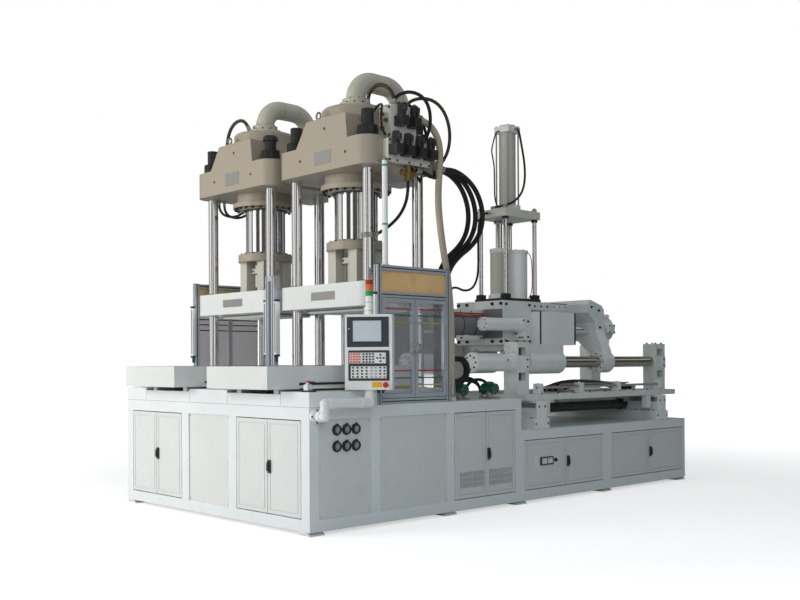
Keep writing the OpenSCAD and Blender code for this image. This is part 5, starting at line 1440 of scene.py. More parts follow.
@dataclass
class LightCurtains:
    """Windows, end caps and plugs of the light-curtain strips, and the middle stand's fittings."""

    strip_z0: float = 1.23
    strip_z1: float = 1.69
    inner_x: float = 0.071
    inner_half: float = 0.013
    inner_front: float = 0.585
    outer_x: float = 1.215
    outer_half: float = 0.02
    outer_front: float = 0.614

    def build(self) -> None:
        """Builds the fittings of all four strips and of the stand."""
        windows, caps = Shape(), Shape()
        for s in (-1, 1):
            for x, half, front, depth in (
                (s * self.inner_x, self.inner_half, self.inner_front, 0.04),
                (s * self.outer_x, self.outer_half, self.outer_front, 0.026),
            ):
                windows.box(
                    (x - 0.005, front - 0.0015, self.strip_z0 + 0.03),
                    (x + 0.005, front + 0.001, self.strip_z1 - 0.03), 0.0005
                )
                for z in (self.strip_z0, self.strip_z1 - 0.018):
                    caps.box(
                        (x - half - 0.0008, front - 0.0015, z),
                        (x + half + 0.0008, front + depth, z + 0.018), 0.001
                    )
                caps.rod(
                    (x, front + depth / 2, self.strip_z0 - 0.045),
                    (x, front + depth / 2, self.strip_z0), 0.009
                )
        windows.piece("curtain_windows", PLASTIC)
        caps.piece("curtain_caps", PLASTIC)
        self._stand()

    def _stand(self) -> None:
        """Builds the grooves, as dark strips of painted shade, and the foot brackets of the middle stand."""
        grooves, feet = Shape(), Shape()
        for x in (-0.038, 0.038):
            for y in (0.585, 0.625):
                # Dark strip: painted shade inside the profile's groove.
                grooves.box((x - 0.004, y - 0.0005, BED_TOP), (x + 0.004, y + 0.0005, 1.877), 0)
            feet.box((x - 0.018, 0.545, BED_TOP), (x + 0.018, 0.585, 0.986), 0.001)
            feet.box((x - 0.018, 0.579, BED_TOP), (x + 0.018, 0.585, 1.024), 0.001)
            feet.bolts([(x, 0.563, 0.986)], Z_AXIS, 0.007).bolts([(x, 0.579, 1.008)], OUT, 0.007)
        grooves.piece("stand_groove_shade", DARK_JOINT_AND_GROOVE_SHADE)
        feet.piece("stand_feet", ZINC)


@dataclass
class ControlPanel:
    """Screen, keys, stop button, back and signal lamp of the control panel, and its arm's fittings."""

    pivot: Point = (1.35, 0.46, 0.99)
    turn: float = 38.0
    half_d: float = 0.05
    lens_z: float = 1.645
    lens_h: float = 0.038
    lens_r: float = 0.026
    body: str = "panel"

    @property
    def place(self) -> Matrix:
        """The panel's own frame, with its foot's middle at the origin."""
        return turned_place(*self.pivot, self.turn)

    def build(self) -> None:
        """Builds every fitting of the panel and its arm."""
        self._screen()
        self._keys()
        self._stop()
        self._back()
        self._lamp()
        self._arm()

    def _pads(
        self, name: str, finish: Finish, spots: Iterable[Point], w: float, h: float, face: float
    ) -> None:
        """Builds raised keys.

        Args:
            name: Name of the piece.
            finish: Finish of the keys.
            spots: Middles of the keys, across and up.
            w: Width of a key.
            h: Height of a key.
            face: How far the keys stand out from the panel.
        """
        keys = Shape(self.place)
        for x, z in spots:
            keys.box(
                (x - w / 2, -self.half_d - face, z - h / 2),
                (x + w / 2, -self.half_d - 0.003, z + h / 2), 0.0012
            )
        keys.piece(name, finish, self.body)

    def _screen(self) -> None:
        """Builds the screen in its bezel and the keypad's dark board."""
        front = -self.half_d
        bezel = Shape(self.place).box((-0.151, front - 0.006, 0.298), (0.145, front + 0.001, 0.508), 0.003)
        bezel.box((-0.113, front - 0.0085, 0.331), (0.099, front - 0.005, 0.487), 0.002)
        bezel.box((-0.142, front - 0.005, 0.063), (0.149, front + 0.001, 0.275), 0.003)
        bezel.piece("panel_bezel", BEZEL, self.body)
        Shape(self.place).box((-0.107, front - 0.0092, 0.337), (0.093, front - 0.008, 0.481), 0.0004).piece(
            "panel_screen", SCREEN, self.body
        )
        Shape(self.place).rod(
            (-0.135, front - 0.0065, 0.425), (-0.135, front - 0.0055, 0.425), 0.004, 12
        ).piece("panel_power_light", IVORY, self.body)

    def _keys(self) -> None:
        """Builds the pale fields and the keys."""
        front = -self.half_d
        Shape(self.place).box((-0.133, front - 0.0062, 0.184), (0.124, front - 0.004, 0.259), 0.001).box(
            (-0.124, front - 0.0062, 0.08), (0.129, front - 0.004, 0.164), 0.001
        ).piece("panel_key_fields", IVORY, self.body)
        rows = steps(0.194, 0.249, 4)
        self._pads(
            "panel_red_keys", KEY_RED, [(x, z) for x in steps(-0.121, -0.062, 4) for z in rows],
            0.016, 0.013, 0.009
        )
        dark = [(x, z) for x in steps(-0.034, 0.034, 4) for z in rows]
        cross = ((0, 0), (0.022, 0), (-0.022, 0), (0, 0.022), (0, -0.022))
        dark += [(0.086 + dx, 0.2215 + dz) for dx, dz in cross]
        lower = steps(0.09, 0.154, 4)
        dark += [(x, z) for x in steps(-0.108, -0.012, 4) for z in lower]
        dark += [(x, z) for x in (0.084, 0.114) for z in lower[1:]]
        self._pads("panel_dark_keys", PLASTIC, dark, 0.014, 0.0115, 0.009)
        self._pads(
            "panel_grey_keys", GREY_PLASTIC, [(x, z) for x in (0.022, 0.052) for z in lower], 0.017,
            0.0125, 0.009
        )
        self._pads(
            "panel_accent_keys", KEY_RED, [(x, lower[0]) for x in (0.084, 0.114)], 0.014, 0.0115, 0.009
        )

    def _stop(self) -> None:
        """Builds the stop button with its bare yellow plate."""
        front = -self.half_d
        Shape(self.place).box((0.026, front - 0.002, 0.017), (0.096, front + 0.001, 0.055), 0.001).piece(
            "stop_plate", YELLOW, self.body
        )
        profile = [
            (0.013, 0), (0.013, 0.01), (0.019, 0.013), (0.02, 0.02), (0.017, 0.026), (0.008, 0.029),
            (0, 0.0295)
        ]
        Shape(self.place).turned(
            (0.124, front, 0.035), OUT, profile, 32
        ).piece("stop_button", RED, self.body)

    def _back(self) -> None:
        """Builds the cover behind the panel, its edge screws and the cable glands below it."""
        back = self.half_d
        Shape(self.place).box((-0.15, back - 0.001, 0.018), (0.15, back + 0.004, 0.507), 0.002).piece(
            "panel_cover", WHITE, self.body, "white_paint"
        )
        Shape(self.place).bolts(
            product((-0.138, 0.138), (back + 0.004,), steps(0.032, 0.493, 4)), Y_AXIS, 0.004
        ).bolts(
            product((-0.158, 0.158), (-back,), (0.01, 0.515)), OUT, 0.003
        ).piece("panel_screws_small", ZINC, self.body)
        glands = Shape(self.place)
        for x in (0.06, 0.095):
            glands.adapter((x, 0.0, 0.001), -Z_AXIS, (0.013, 0.012), (0.009, 0.026))
        glands.piece("panel_glands", PLASTIC, self.body)

    def _lamp(self) -> None:
        """Builds the three lenses of the signal lamp with their rings."""
        x, y, _ = self.pivot
        rings = Shape()
        for i, (name, finish) in enumerate((("green", GREEN), ("amber", AMBER), ("red", RED))):
            foot = self.lens_z + i * self.lens_h
            lens = Shape().ring(
                (x, y, foot + 0.002), Z_AXIS, self.lens_r + 0.0012, self.lens_r - 0.0006,
                self.lens_h - 0.003, 40
            )
            for z in steps(foot + 0.006, foot + self.lens_h - 0.008, 5):
                lens.ring((x, y, z), Z_AXIS, self.lens_r + 0.0018, self.lens_r, 0.003, 40)
            lens.piece(f"signal_lens_{name}", finish, self.body, "lens")
            rings.ring((x, y, foot - 0.001), Z_AXIS, self.lens_r + 0.0016, self.lens_r - 0.001, 0.003, 40)
        top = self.lens_z + 3 * self.lens_h
        rings.turned((x, y, top), Z_AXIS, [(0.0272, 0), (0.0272, 0.004), (0.022, 0.008), (0, 0.009)], 40)
        for z in (1.54, 1.6):
            rings.ring((x, y, z), Z_AXIS, self.lens_r + 0.0015, self.lens_r - 0.001, 0.004, 40)
        rings.piece("signal_lamp_rings", GREY_PLASTIC, self.body)

    def _arm(self) -> None:
        """Builds the bolts and collars of the panel's pipe arm."""
        x, y, flange_z, run_z, pivot_y = 1.35, 0.055, 0.815, 0.9, self.pivot[1]
        Shape().bolt_circle((1.266, y, flange_z), X_AXIS, 0.044, 4, 0.006, 45).piece("arm_bolts", BLACKED)
        collars = Shape().ring((1.296, y, flange_z), X_AXIS, 0.0375, 0.032, 0.026, 36)
        collars.ring((x, y + 0.028, run_z), Y_AXIS, 0.0375, 0.032, 0.055, 36)
        collars.ring((x, pivot_y - 0.095, run_z), Y_AXIS, 0.0375, 0.032, 0.062, 36)
        collars.ring((x, y, 0.846), Z_AXIS, 0.0372, 0.032, 0.022, 36)
        collars.ring((x, pivot_y, 0.93), Z_AXIS, 0.0372, 0.032, 0.04, 36)
        collars.piece("arm_collars", WHITE, MACHINE, "white_paint")


@dataclass
class InjectionUnit:
    """Fittings of the cross rails, carriage, seat, barrel, injection cylinders and drive."""

    x: float = STATION_X
    bar_dx: float = 0.39
    bar_z: float = 1.175
    barrel_z: float = 1.5
    seat_z: float = 1.33
    plate_top: float = 0.9003
    towers: tuple[float, ...] = (2.385, 4.52)
    tower_half: float = 0.075
    tower_d: float = 0.16
    tower_top: float = 1.35
    rail_ys: tuple[float, ...] = (2.5, 4.35)
    carriage: str = "unit_carriage"
    seat: str = "unit_seat"
    drive: str = "unit_drive"

    @property
    def bars(self) -> tuple[float, float]:
        """Places of the two guide bars."""
        return (self.x - self.bar_dx, self.x + self.bar_dx)

    def build(self) -> None:
        """Builds every fitting of the unit."""
        self._rails()
        self._brackets()
        self._seat_cylinders()
        self._scale()
        self._bushings()
        self._barrel()
        self._pull_cylinders()
        self._injection()
        self._motor()
        self._shelf_bar()
        self._underside()
        self._base_valves()
        self._chain()

    def _rails(self) -> None:
        """Builds the end plates and side strips of the cross rails."""
        plates, bolts, strips = Shape(), Shape(), Shape()
        for y in self.rail_ys:
            section = [(y - 0.098, 0.612), (y + 0.098, 0.612), (y + 0.098, 0.698), (y + 0.063, 0.698),
                       (y + 0.063, 0.846), (y - 0.063, 0.846), (y - 0.063, 0.698), (y - 0.098, 0.698)]
            for s in (-1, 1):
                low, high = sorted((s * 1.24, s * 1.248))
                plates.slab(section, X_AXIS, low, high)
                for dy, z in ((-0.08, 0.655), (0.08, 0.655), (-0.04, 0.8), (0.04, 0.8)):
                    bolts.ring((s * 1.2475, y + dy, z), X_AXIS * s, 0.011, 0.005, 0.002, 20)
                strip_y = sorted((y + s * 0.065, y + s * 0.071))
                strips.box((-1.235, strip_y[0], 0.79), (1.235, strip_y[1], 0.832), 0.001)
            bolts.bolts(
                [(x, y + s * 0.083, 0.7) for x in steps(-1.2, 1.2, 13) for s in (-1, 1)], Z_AXIS, 0.008
            )
        plates.piece("cross_rail_ends", WHITE, MACHINE, "white_paint")
        bolts.piece("cross_rail_bolts", BLACKED)
        strips.piece("cross_rail_strips", STEEL)

    def _brackets(self) -> None:
        """Builds the cap plates, bolts and plate screws of the carriage, and dark plates of painted shade at
        the back of each bracket pocket.
        """
        caps, bolts, pocket_shades = Shape(), Shape(), Shape()
        for s, bar in zip((-1, 1), self.bars):
            face = bar + s * self.tower_half
            for y in self.towers:
                low, high = sorted((face, face + s * 0.01))
                caps.box((low, y + 0.094, 1.108), (high, y + 0.158, 1.224))
                bolts.bolts([(face + s * 0.01, y + 0.126, z) for z in (1.135, 1.197)], X_AXIS * s, 0.008)
                seats = [(bar + dx, y + dy, self.tower_top) for dx in (-0.05, 0.05) for dy in (0.03, 0.13)]
                bolts.bolts(seats, Z_AXIS, 0.012)
                # Dark plate at the back of each bracket pocket: painted shade in the pocket.
                back = face - s * 0.0585
                for z in (self.bar_z + 0.093, self.bar_z - 0.123):
                    low, high = sorted((back, back - s * 0.001))
                    pocket_shades.box((low, y + 0.024, z - 0.032), (high, y + 0.12, z + 0.032), 0)
            for y_end, axis in ((self.towers[0] + self.tower_d, Y_AXIS), (self.towers[1], OUT)):
                caps.ring((bar, y_end, self.bar_z), axis, 0.07, 0.052, 0.006, 40)
            caps.turned(
                (bar, self.towers[1] + self.tower_d, self.bar_z), Y_AXIS,
                [(0.062, 0), (0.058, 0.012), (0, 0.012)], 40
            )
            bolts.bolts(
                [(self.x + s * 0.553, y, self.plate_top) for y in steps(2.6, 4.46, 9)], Z_AXIS, 0.01
            )
        caps.piece("carriage_caps", PALE, self.carriage, "pale_paint")
        bolts.piece("carriage_bolts", BLACKED, self.carriage)
        pocket_shades.piece("carriage_pocket_shade", DARK_JOINT_AND_GROOVE_SHADE, self.carriage)

    def _seat_cylinders(self) -> None:
        """Builds the painted tubes, end heads and ports of the seat cylinders."""
        tubes, bolts, ports = Shape(), Shape(), Shape()
        for bar in self.bars:
            tubes.ring((bar, 1.92, self.bar_z), Y_AXIS, 0.0762, 0.0745, 0.44, 48)
            tubes.ring((bar, 1.888, self.bar_z), Y_AXIS, 0.084, 0.0745, 0.045, 48)
            tubes.ring((bar, 2.34, self.bar_z), Y_AXIS, 0.088, 0.0745, 0.045, 48)
            bolts.bolt_circle((bar, 1.885, self.bar_z), OUT, 0.056, 8, 0.008)
            for y in (1.955, 2.285):
                ports.adapter((bar, y, self.bar_z + 0.075), Z_AXIS, (0.022, 0.018), (0.014, 0.034))
            ports.rod((bar + 0.074, 2.26, self.bar_z + 0.02), (bar + 0.086, 2.26, self.bar_z + 0.02), 0.01)
        tubes.piece("seat_cylinder_tubes", PALE, self.carriage, "pale_paint")
        bolts.piece("seat_cylinder_bolts", BLACKED, self.carriage)
        ports.piece("seat_cylinder_ports", ZINC, self.carriage)

    def _scale(self) -> None:
        """Builds the measuring rod along the carriage's right edge."""
        x, z = 1.14, 0.955
        Shape().rod((x, 2.56, z), (x, 4.5, z), 0.011).rod(
            (x - 0.03, 2.94, z + 0.022), (x - 0.03, 3.98, z + 0.022), 0.007
        ).piece("scale_rods", STEEL, self.carriage)
        blocks = Shape()
        for y in (2.6, 3.18, 3.76, 4.46):
            blocks.box((x - 0.05, y - 0.028, self.plate_top), (x + 0.022, y + 0.028, z + 0.036), 0.003)
            blocks.bolts([(x - 0.014, y, z + 0.036)], Z_AXIS, 0.007)
        blocks.piece("scale_blocks", PALE, self.carriage, "pale_paint")

    def _bushings(self) -> None:
        """Builds the end rings of the bushing housings and the drive's bosses."""
        ends = {
            "seat": (self.seat, ((3.035, Y_AXIS),)), "drive": (self.drive, ((3.63, OUT), (3.78, Y_AXIS))),
        }
        for name, (body, faces) in ends.items():
            rings, bolts = Shape(), Shape()
            for bar in self.bars:
                for y, axis in faces:
                    rings.ring((bar, y, self.bar_z), axis, 0.096, 0.0535, 0.01, 48)
                    bolts.bolts(
                        circle(Vector((bar, y, self.bar_z)) + axis * 0.01, axis, 0.078, 8), axis, 0.006
                    )
            rings.piece(f"{name}_bush_rings", PALE, body, "pale_paint")
            bolts.piece(f"{name}_bush_bolts", BLACKED, body)

    def _barrel(self) -> None:
        """Builds the heater bands, cover seams, wireway and wires of the barrel."""
        x, z = self.x, self.barrel_z
        bands = Shape()
        for y in (1.775, 1.835, 1.895):
            bands.ring((x, y, z), Y_AXIS, 0.0585, 0.054, 0.048, 40)
            bands.box((x - 0.01, y + 0.008, z + 0.056), (x + 0.01, y + 0.04, z + 0.072))
        bands.ring((x, 1.752, z), Y_AXIS, 0.062, 0.05, 0.016, 6)
        bands.piece("nozzle_heater_bands", STEEL, self.seat)
        seams = Shape()
        for y in (1.955, 2.11, 2.27, 2.415):
            seams.ring((x, y, z), Y_AXIS, 0.1145, 0.111, 0.01, 56)
        seams.piece("barrel_cover_seams", BLACKED, self.seat, "barrel_cover")
        Shape().box((x - 0.268, 2.425, z - 0.112), (x + 0.268, 2.4305, z + 0.142), 0.002).ring(
            (x, 2.4254, z), OUT, 0.128, 0.11, 0.012, 56
        ).piece("feed_block_cover", COVER, self.seat, "barrel_cover")
        Shape().box((x - 0.03, 1.96, z + 0.108), (x + 0.052, 2.43, z + 0.136), 0.003).box(
            (x + 0.086, 2.03, z - 0.136), (x + 0.124, 2.33, z - 0.092), 0.003
        ).box(
            (x + 0.06, 2.15, z - 0.1), (x + 0.09, 2.19, z - 0.085)
        ).piece("barrel_wireway", PALE, self.seat, "pale_paint")
        Shape().bolts([(x + 0.052, y, z + 0.122) for y in steps(1.99, 2.4, 4)], X_AXIS, 0.006).bolts(
            [(x + 0.124, y, z - 0.114) for y in (2.055, 2.305)], X_AXIS, 0.009
        ).piece("barrel_wireway_screws", BLACKED, self.seat)
        for i, (dx, dz, finish) in enumerate(
            ((0.066, 0.1, ORANGE_WIRE), (0.078, 0.09, RED_WIRE), (0.089, 0.078, BLUE_WIRE))
        ):
            route = [(x + dx + rx, y, z + dz + rz) for rx, y, rz in (
                (-0.014, 2.428, 0.002), (0, 2.385, -0.003), (0, 2.32, -0.006), (0, 2.24, -0.008),
                (0, 2.15, -0.009), (0, 2.07, -0.007), (0, 2.01, -0.004), (-0.012, 1.972, 0),
            )]
            Line(f"heater_wire_{i}", route, 0.009, finish, self.seat, PLASTIC, stiffness="medium").build()

    def _pull_cylinders(self) -> None:
        """Builds the heads, flanges and bolts of the pull cylinders and of the feed block's front."""
        heads, bolts = Shape(), Shape()
        for s in (-1, 1):
            cx = self.x + s * 0.34
            heads.ring((cx, 2.084, self.barrel_z), Y_AXIS, 0.0585, 0.0545, 0.034, 40)
            heads.turned(
                (cx, 2.0815, self.barrel_z), OUT, [(0.04, 0), (0.038, 0.004), (0.012, 0.004), (0, 0.004)], 32
            )
            heads.ring((cx, 2.519, self.barrel_z), Y_AXIS, 0.0585, 0.0545, 0.05, 40)
            bolts.bolt_circle((cx, 2.08, self.barrel_z), OUT, 0.048, 8, 0.005)
            for dx, z in ((0.345, 1.392), (0.372, 1.392), (0.3, 1.425), (0.39, 1.54)):
                bolts.bolts([(self.x + s * dx, 2.569, z)], OUT, 0.008)
            bolts.bolts([(self.x + s * 0.404, 2.605, z) for z in (1.395, 1.53)], X_AXIS * s, 0.01)
            bolts.bolts(
                [(self.x + s * dx, 2.43, z) for dx in (0.15, 0.252) for z in (1.358, 1.688)], OUT, 0.015
            )
            face = self.x + s * 0.28
            bolts.bolts(product((face,), (2.46, 2.775), (1.362, 1.682)), X_AXIS * s, 0.012)
            bolts.bolts([(face, y, 1.6775) for y in (2.85, 2.94, 3.03)], X_AXIS * s, 0.009)
        heads.piece("pull_cylinder_heads", PALE, self.seat, "pale_paint")
        bolts.piece("feed_block_bolts", BLACKED, self.seat)

    def _injection(self) -> None:
        """Builds the end bands of the injection cylinders, the chrome of their rods and the drive's bolts."""
        bands, rods, bolts = Shape(), Shape(), Shape()
        for s in (-1, 1):
            cx, z0, z1 = self.x + s * 0.27, self.seat_z, self.seat_z + 0.295
            for y0, y1 in ((2.806, 2.826), (3.306, 3.327)):
                for low, high in (
                    ((cx - 0.107, y0, z0 + 0.004), (cx - 0.1045, y1, z1 + 0.002)),
                    ((cx + 0.1045, y0, z0 + 0.004), (cx + 0.107, y1, z1 + 0.002)),
                    ((cx - 0.107, y0, z1 - 0.0005), (cx + 0.107, y1, z1 + 0.002)),
                ):
                    bands.box(low, high, 0.0005)
            rods.ring((cx, 3.285, self.seat_z + 0.1475), Y_AXIS, 0.0402, 0.0395, 0.35, 40)
            face = self.x + s * 0.3725
            bolts.bolts(
                [(face, y, z) for y, z in ((3.575, 1.69), (3.69, 1.66), (3.705, 1.5))], X_AXIS * s, 0.012
            )
        bands.piece("injection_end_bands", BLACKED, self.seat)
        rods.piece("injection_rod_chrome", CHROME, self.drive, "chrome")
        bolts.piece("drive_crosshead_bolts", BLACKED, self.drive)

    def _motor(self) -> None:
        """Builds the radial heads, end cover and coupling of the screw motor."""
        x, z, front, back = self.x, self.barrel_z, 4.137, 4.287
        heads, bolts = Shape(), Shape()
        for k in range(5):
            turn = Matrix.Translation((x, 0, z)) @ Matrix.Rotation(math.radians(72 * k + 18), 4, "Y")
            heads.on(turn).box((-0.047, front + 0.018, 0.1), (0.047, back - 0.018, 0.158), 0.006)
            bolts.on(turn).bolts(
                product((-0.034, 0.034), (front + 0.034, back - 0.034), (0.158,)), Z_AXIS, 0.008
            )
        heads.on(Matrix.Identity(4)).turned(
            (x, back, z), Y_AXIS, [(0.098, 0), (0.098, 0.01), (0.06, 0.016), (0.06, 0.03), (0, 0.03)], 40
        )
        heads.piece("screw_motor_heads", PALE, self.drive, "pale_paint")
        bolts.on(Matrix.Identity(4)).bolt_circle((x, back + 0.01, z), Y_AXIS, 0.082, 10, 0.007)
        bolts.ring((x, 4.087, z), Y_AXIS, 0.092, 0.059, 0.048, 8)
        bolts.ring((x, 3.776, z), Y_AXIS, 0.1, 0.059, 0.03, 40)
        bolts.piece("screw_motor_coupling", BLACKED, self.drive)

    def _shelf_bar(self) -> None:
        """Builds the stroke bar behind the feed block's shelf."""
        x = self.x + 0.27
        Shape().box((x - 0.006, 3.078, 1.655), (x + 0.006, 3.33, 1.706)).box(
            (x - 0.03, 3.078, 1.65), (x + 0.006, 3.092, 1.711)
        ).piece("stroke_bar", PALE, self.seat, "pale_paint")
        Shape().box((x - 0.007, 3.095, 1.7055), (x + 0.007, 3.329, 1.7125)).bolts(
            [(x + 0.006, y, 1.68) for y in (3.13, 3.215, 3.3)], X_AXIS, 0.006
        ).piece("stroke_bar_scale", BLACKED, self.seat)

    def _underside(self) -> None:
        """Builds the hanging cylinder under the carriage and the hoses along its plate."""
        x, z, low = self.x + 0.3, 0.762, 0.8503
        Shape().rod((x, 2.68, z), (x, 4.18, z), 0.044, 32).rod((x, 2.66, z), (x, 2.74, z), 0.054, 32).rod(
            (x, 4.11, z), (x, 4.19, z), 0.054, 32
        ).piece("carriage_cylinder", BLACKED, self.carriage)
        hangers = Shape()
        for y in (2.7, 4.15):
            hangers.box((x - 0.05, y - 0.016, z - 0.02), (x - 0.04, y + 0.016, low))
            hangers.box((x + 0.04, y - 0.016, z - 0.02), (x + 0.05, y + 0.016, low))
        hangers.piece("carriage_cylinder_hangers", ZINC, self.carriage)
        for i, (dx, rise) in enumerate(((0.06, 0.75), (0.11, 0.5), (0.16, 0.7), (0.21, 0.4), (0.258, 0.6))):
            cx, top = self.x + dx, self.plate_top
            run = [(cx, y, top + 0.021 + z * rise) for y, z in (
                (3.18 + 0.02 * i, 0.0), (3.26, 0.01), (3.34, 0.03), (3.43, 0.055), (3.53, 0.074),
                (3.64, 0.084), (3.76, 0.086), (3.88, 0.082), (4.0, 0.072), (4.11, 0.056), (4.21, 0.036),
                (4.3, 0.016), (4.38, 0.004), (4.45 - 0.02 * i, 0.0),
            )]
            Line(f"carriage_hose_{i}", run, 0.04, HOSE, self.carriage).build()

    def _base_valves(self) -> None:
        """Builds the two green cooling valves on the base behind the bed, and the hoses beside them."""
        greens, greys = Shape(), Shape()
        x, foot = 1.02, BASE_TOP
        for y in (1.72, 2.09):
            greys.box((x - 0.07, y - 0.06, foot), (x + 0.07, y + 0.06, foot + 0.012))
            greys.rod((x, y, foot + 0.01), (x, y, foot + 0.06), 0.03)
            greys.bolts(
                [(x + dx, y + dy, foot + 0.012) for dx in (-0.055, 0.055) for dy in (-0.045, 0.045)],
                Z_AXIS, 0.007
            )
            greens.rod((x - 0.065, y, foot + 0.08), (x + 0.065, y, foot + 0.08), 0.034, 28)
            for dx in (-0.068, 0.054):
                greens.rod((x + dx, y, foot + 0.08), (x + dx + 0.014, y, foot + 0.08), 0.047, 28)
            greys.bolt_circle((x + 0.068, y, foot + 0.08), X_AXIS, 0.036, 6, 0.006)
            greens.turned(
                (x, y, foot + 0.104), Z_AXIS,
                [(0.028, 0), (0.028, 0.014), (0.038, 0.016), (0.038, 0.03), (0.016, 0.038), (0, 0.038)], 24
            )
        for i, (hose_x, y0, y1, z) in enumerate(
            ((0.935, 1.7, 2.08, 1.046), (0.9, 1.76, 2.13, 1.02), (0.965, 1.84, 2.17, 1.03))
        ):
            rise = z - foot
            Line(f"cooling_hose_{i}", [(hose_x, y0 + (y1 - y0) * t, foot + 0.006 + rise * h) for t, h in (
                (0.0, 0.0), (0.01, 0.22), (0.05, 0.46), (0.13, 0.7), (0.25, 0.88), (0.4, 0.97),
                (0.52, 0.98), (0.64, 0.95), (0.77, 0.85), (0.88, 0.68), (0.95, 0.45), (0.99, 0.22),
                (1.0, 0.0),
            )], 0.026).build()
        greens.piece("cooling_valves", GREEN_PAINT)
        greys.piece("cooling_valve_feet", ZINC)

    def _chain(self) -> None:
        """Builds the folded cable chain beside the right seat cylinder's front end."""
        x, centre_y, centre_z, radius = 1.098, 1.64, 1.115, 0.09
        run = [Vector((x, y, centre_z + radius)) for y in steps(1.556, centre_y, 4)[:-1]]
        run += [
            Vector((x, centre_y + radius * math.sin(a), centre_z + radius * math.cos(a)))
            for a in steps(0, math.pi, 11)
        ]
        run += [Vector((x, y, centre_z - radius)) for y in steps(centre_y, 1.556, 4)[1:]]
        links = Shape()
        for k, (a, b) in enumerate(zip(run, run[1:])):
            tilt = math.atan2(b.z - a.z, b.y - a.y)
            links.on(Matrix.Translation((a + b) / 2) @ Matrix.Rotation(tilt, 4, "X"))
            half, wide = (b - a).length * 0.54, 0.018 if k % 2 else 0.0205
            links.box((-wide, -half, -0.021), (wide, half, 0.021), 0.003)
        links.piece("cable_chain", HOSE)
        Shape().box((x - 0.022, 1.538, BASE_TOP), (x + 0.022, 1.544, 1.232), 0.001).box(
            (x - 0.022, 1.538, BASE_TOP), (x + 0.022, 1.6, 0.881), 0.001
        ).box((x - 0.018, 1.542, 1.196), (x + 0.018, 1.562, 1.214), 0.001).box(
            (x - 0.018, 1.542, 1.016), (x + 0.018, 1.562, 1.034), 0.001
        ).bolts([(x, 1.58, 0.881)], Z_AXIS, 0.007).piece("cable_chain_bracket", ZINC)


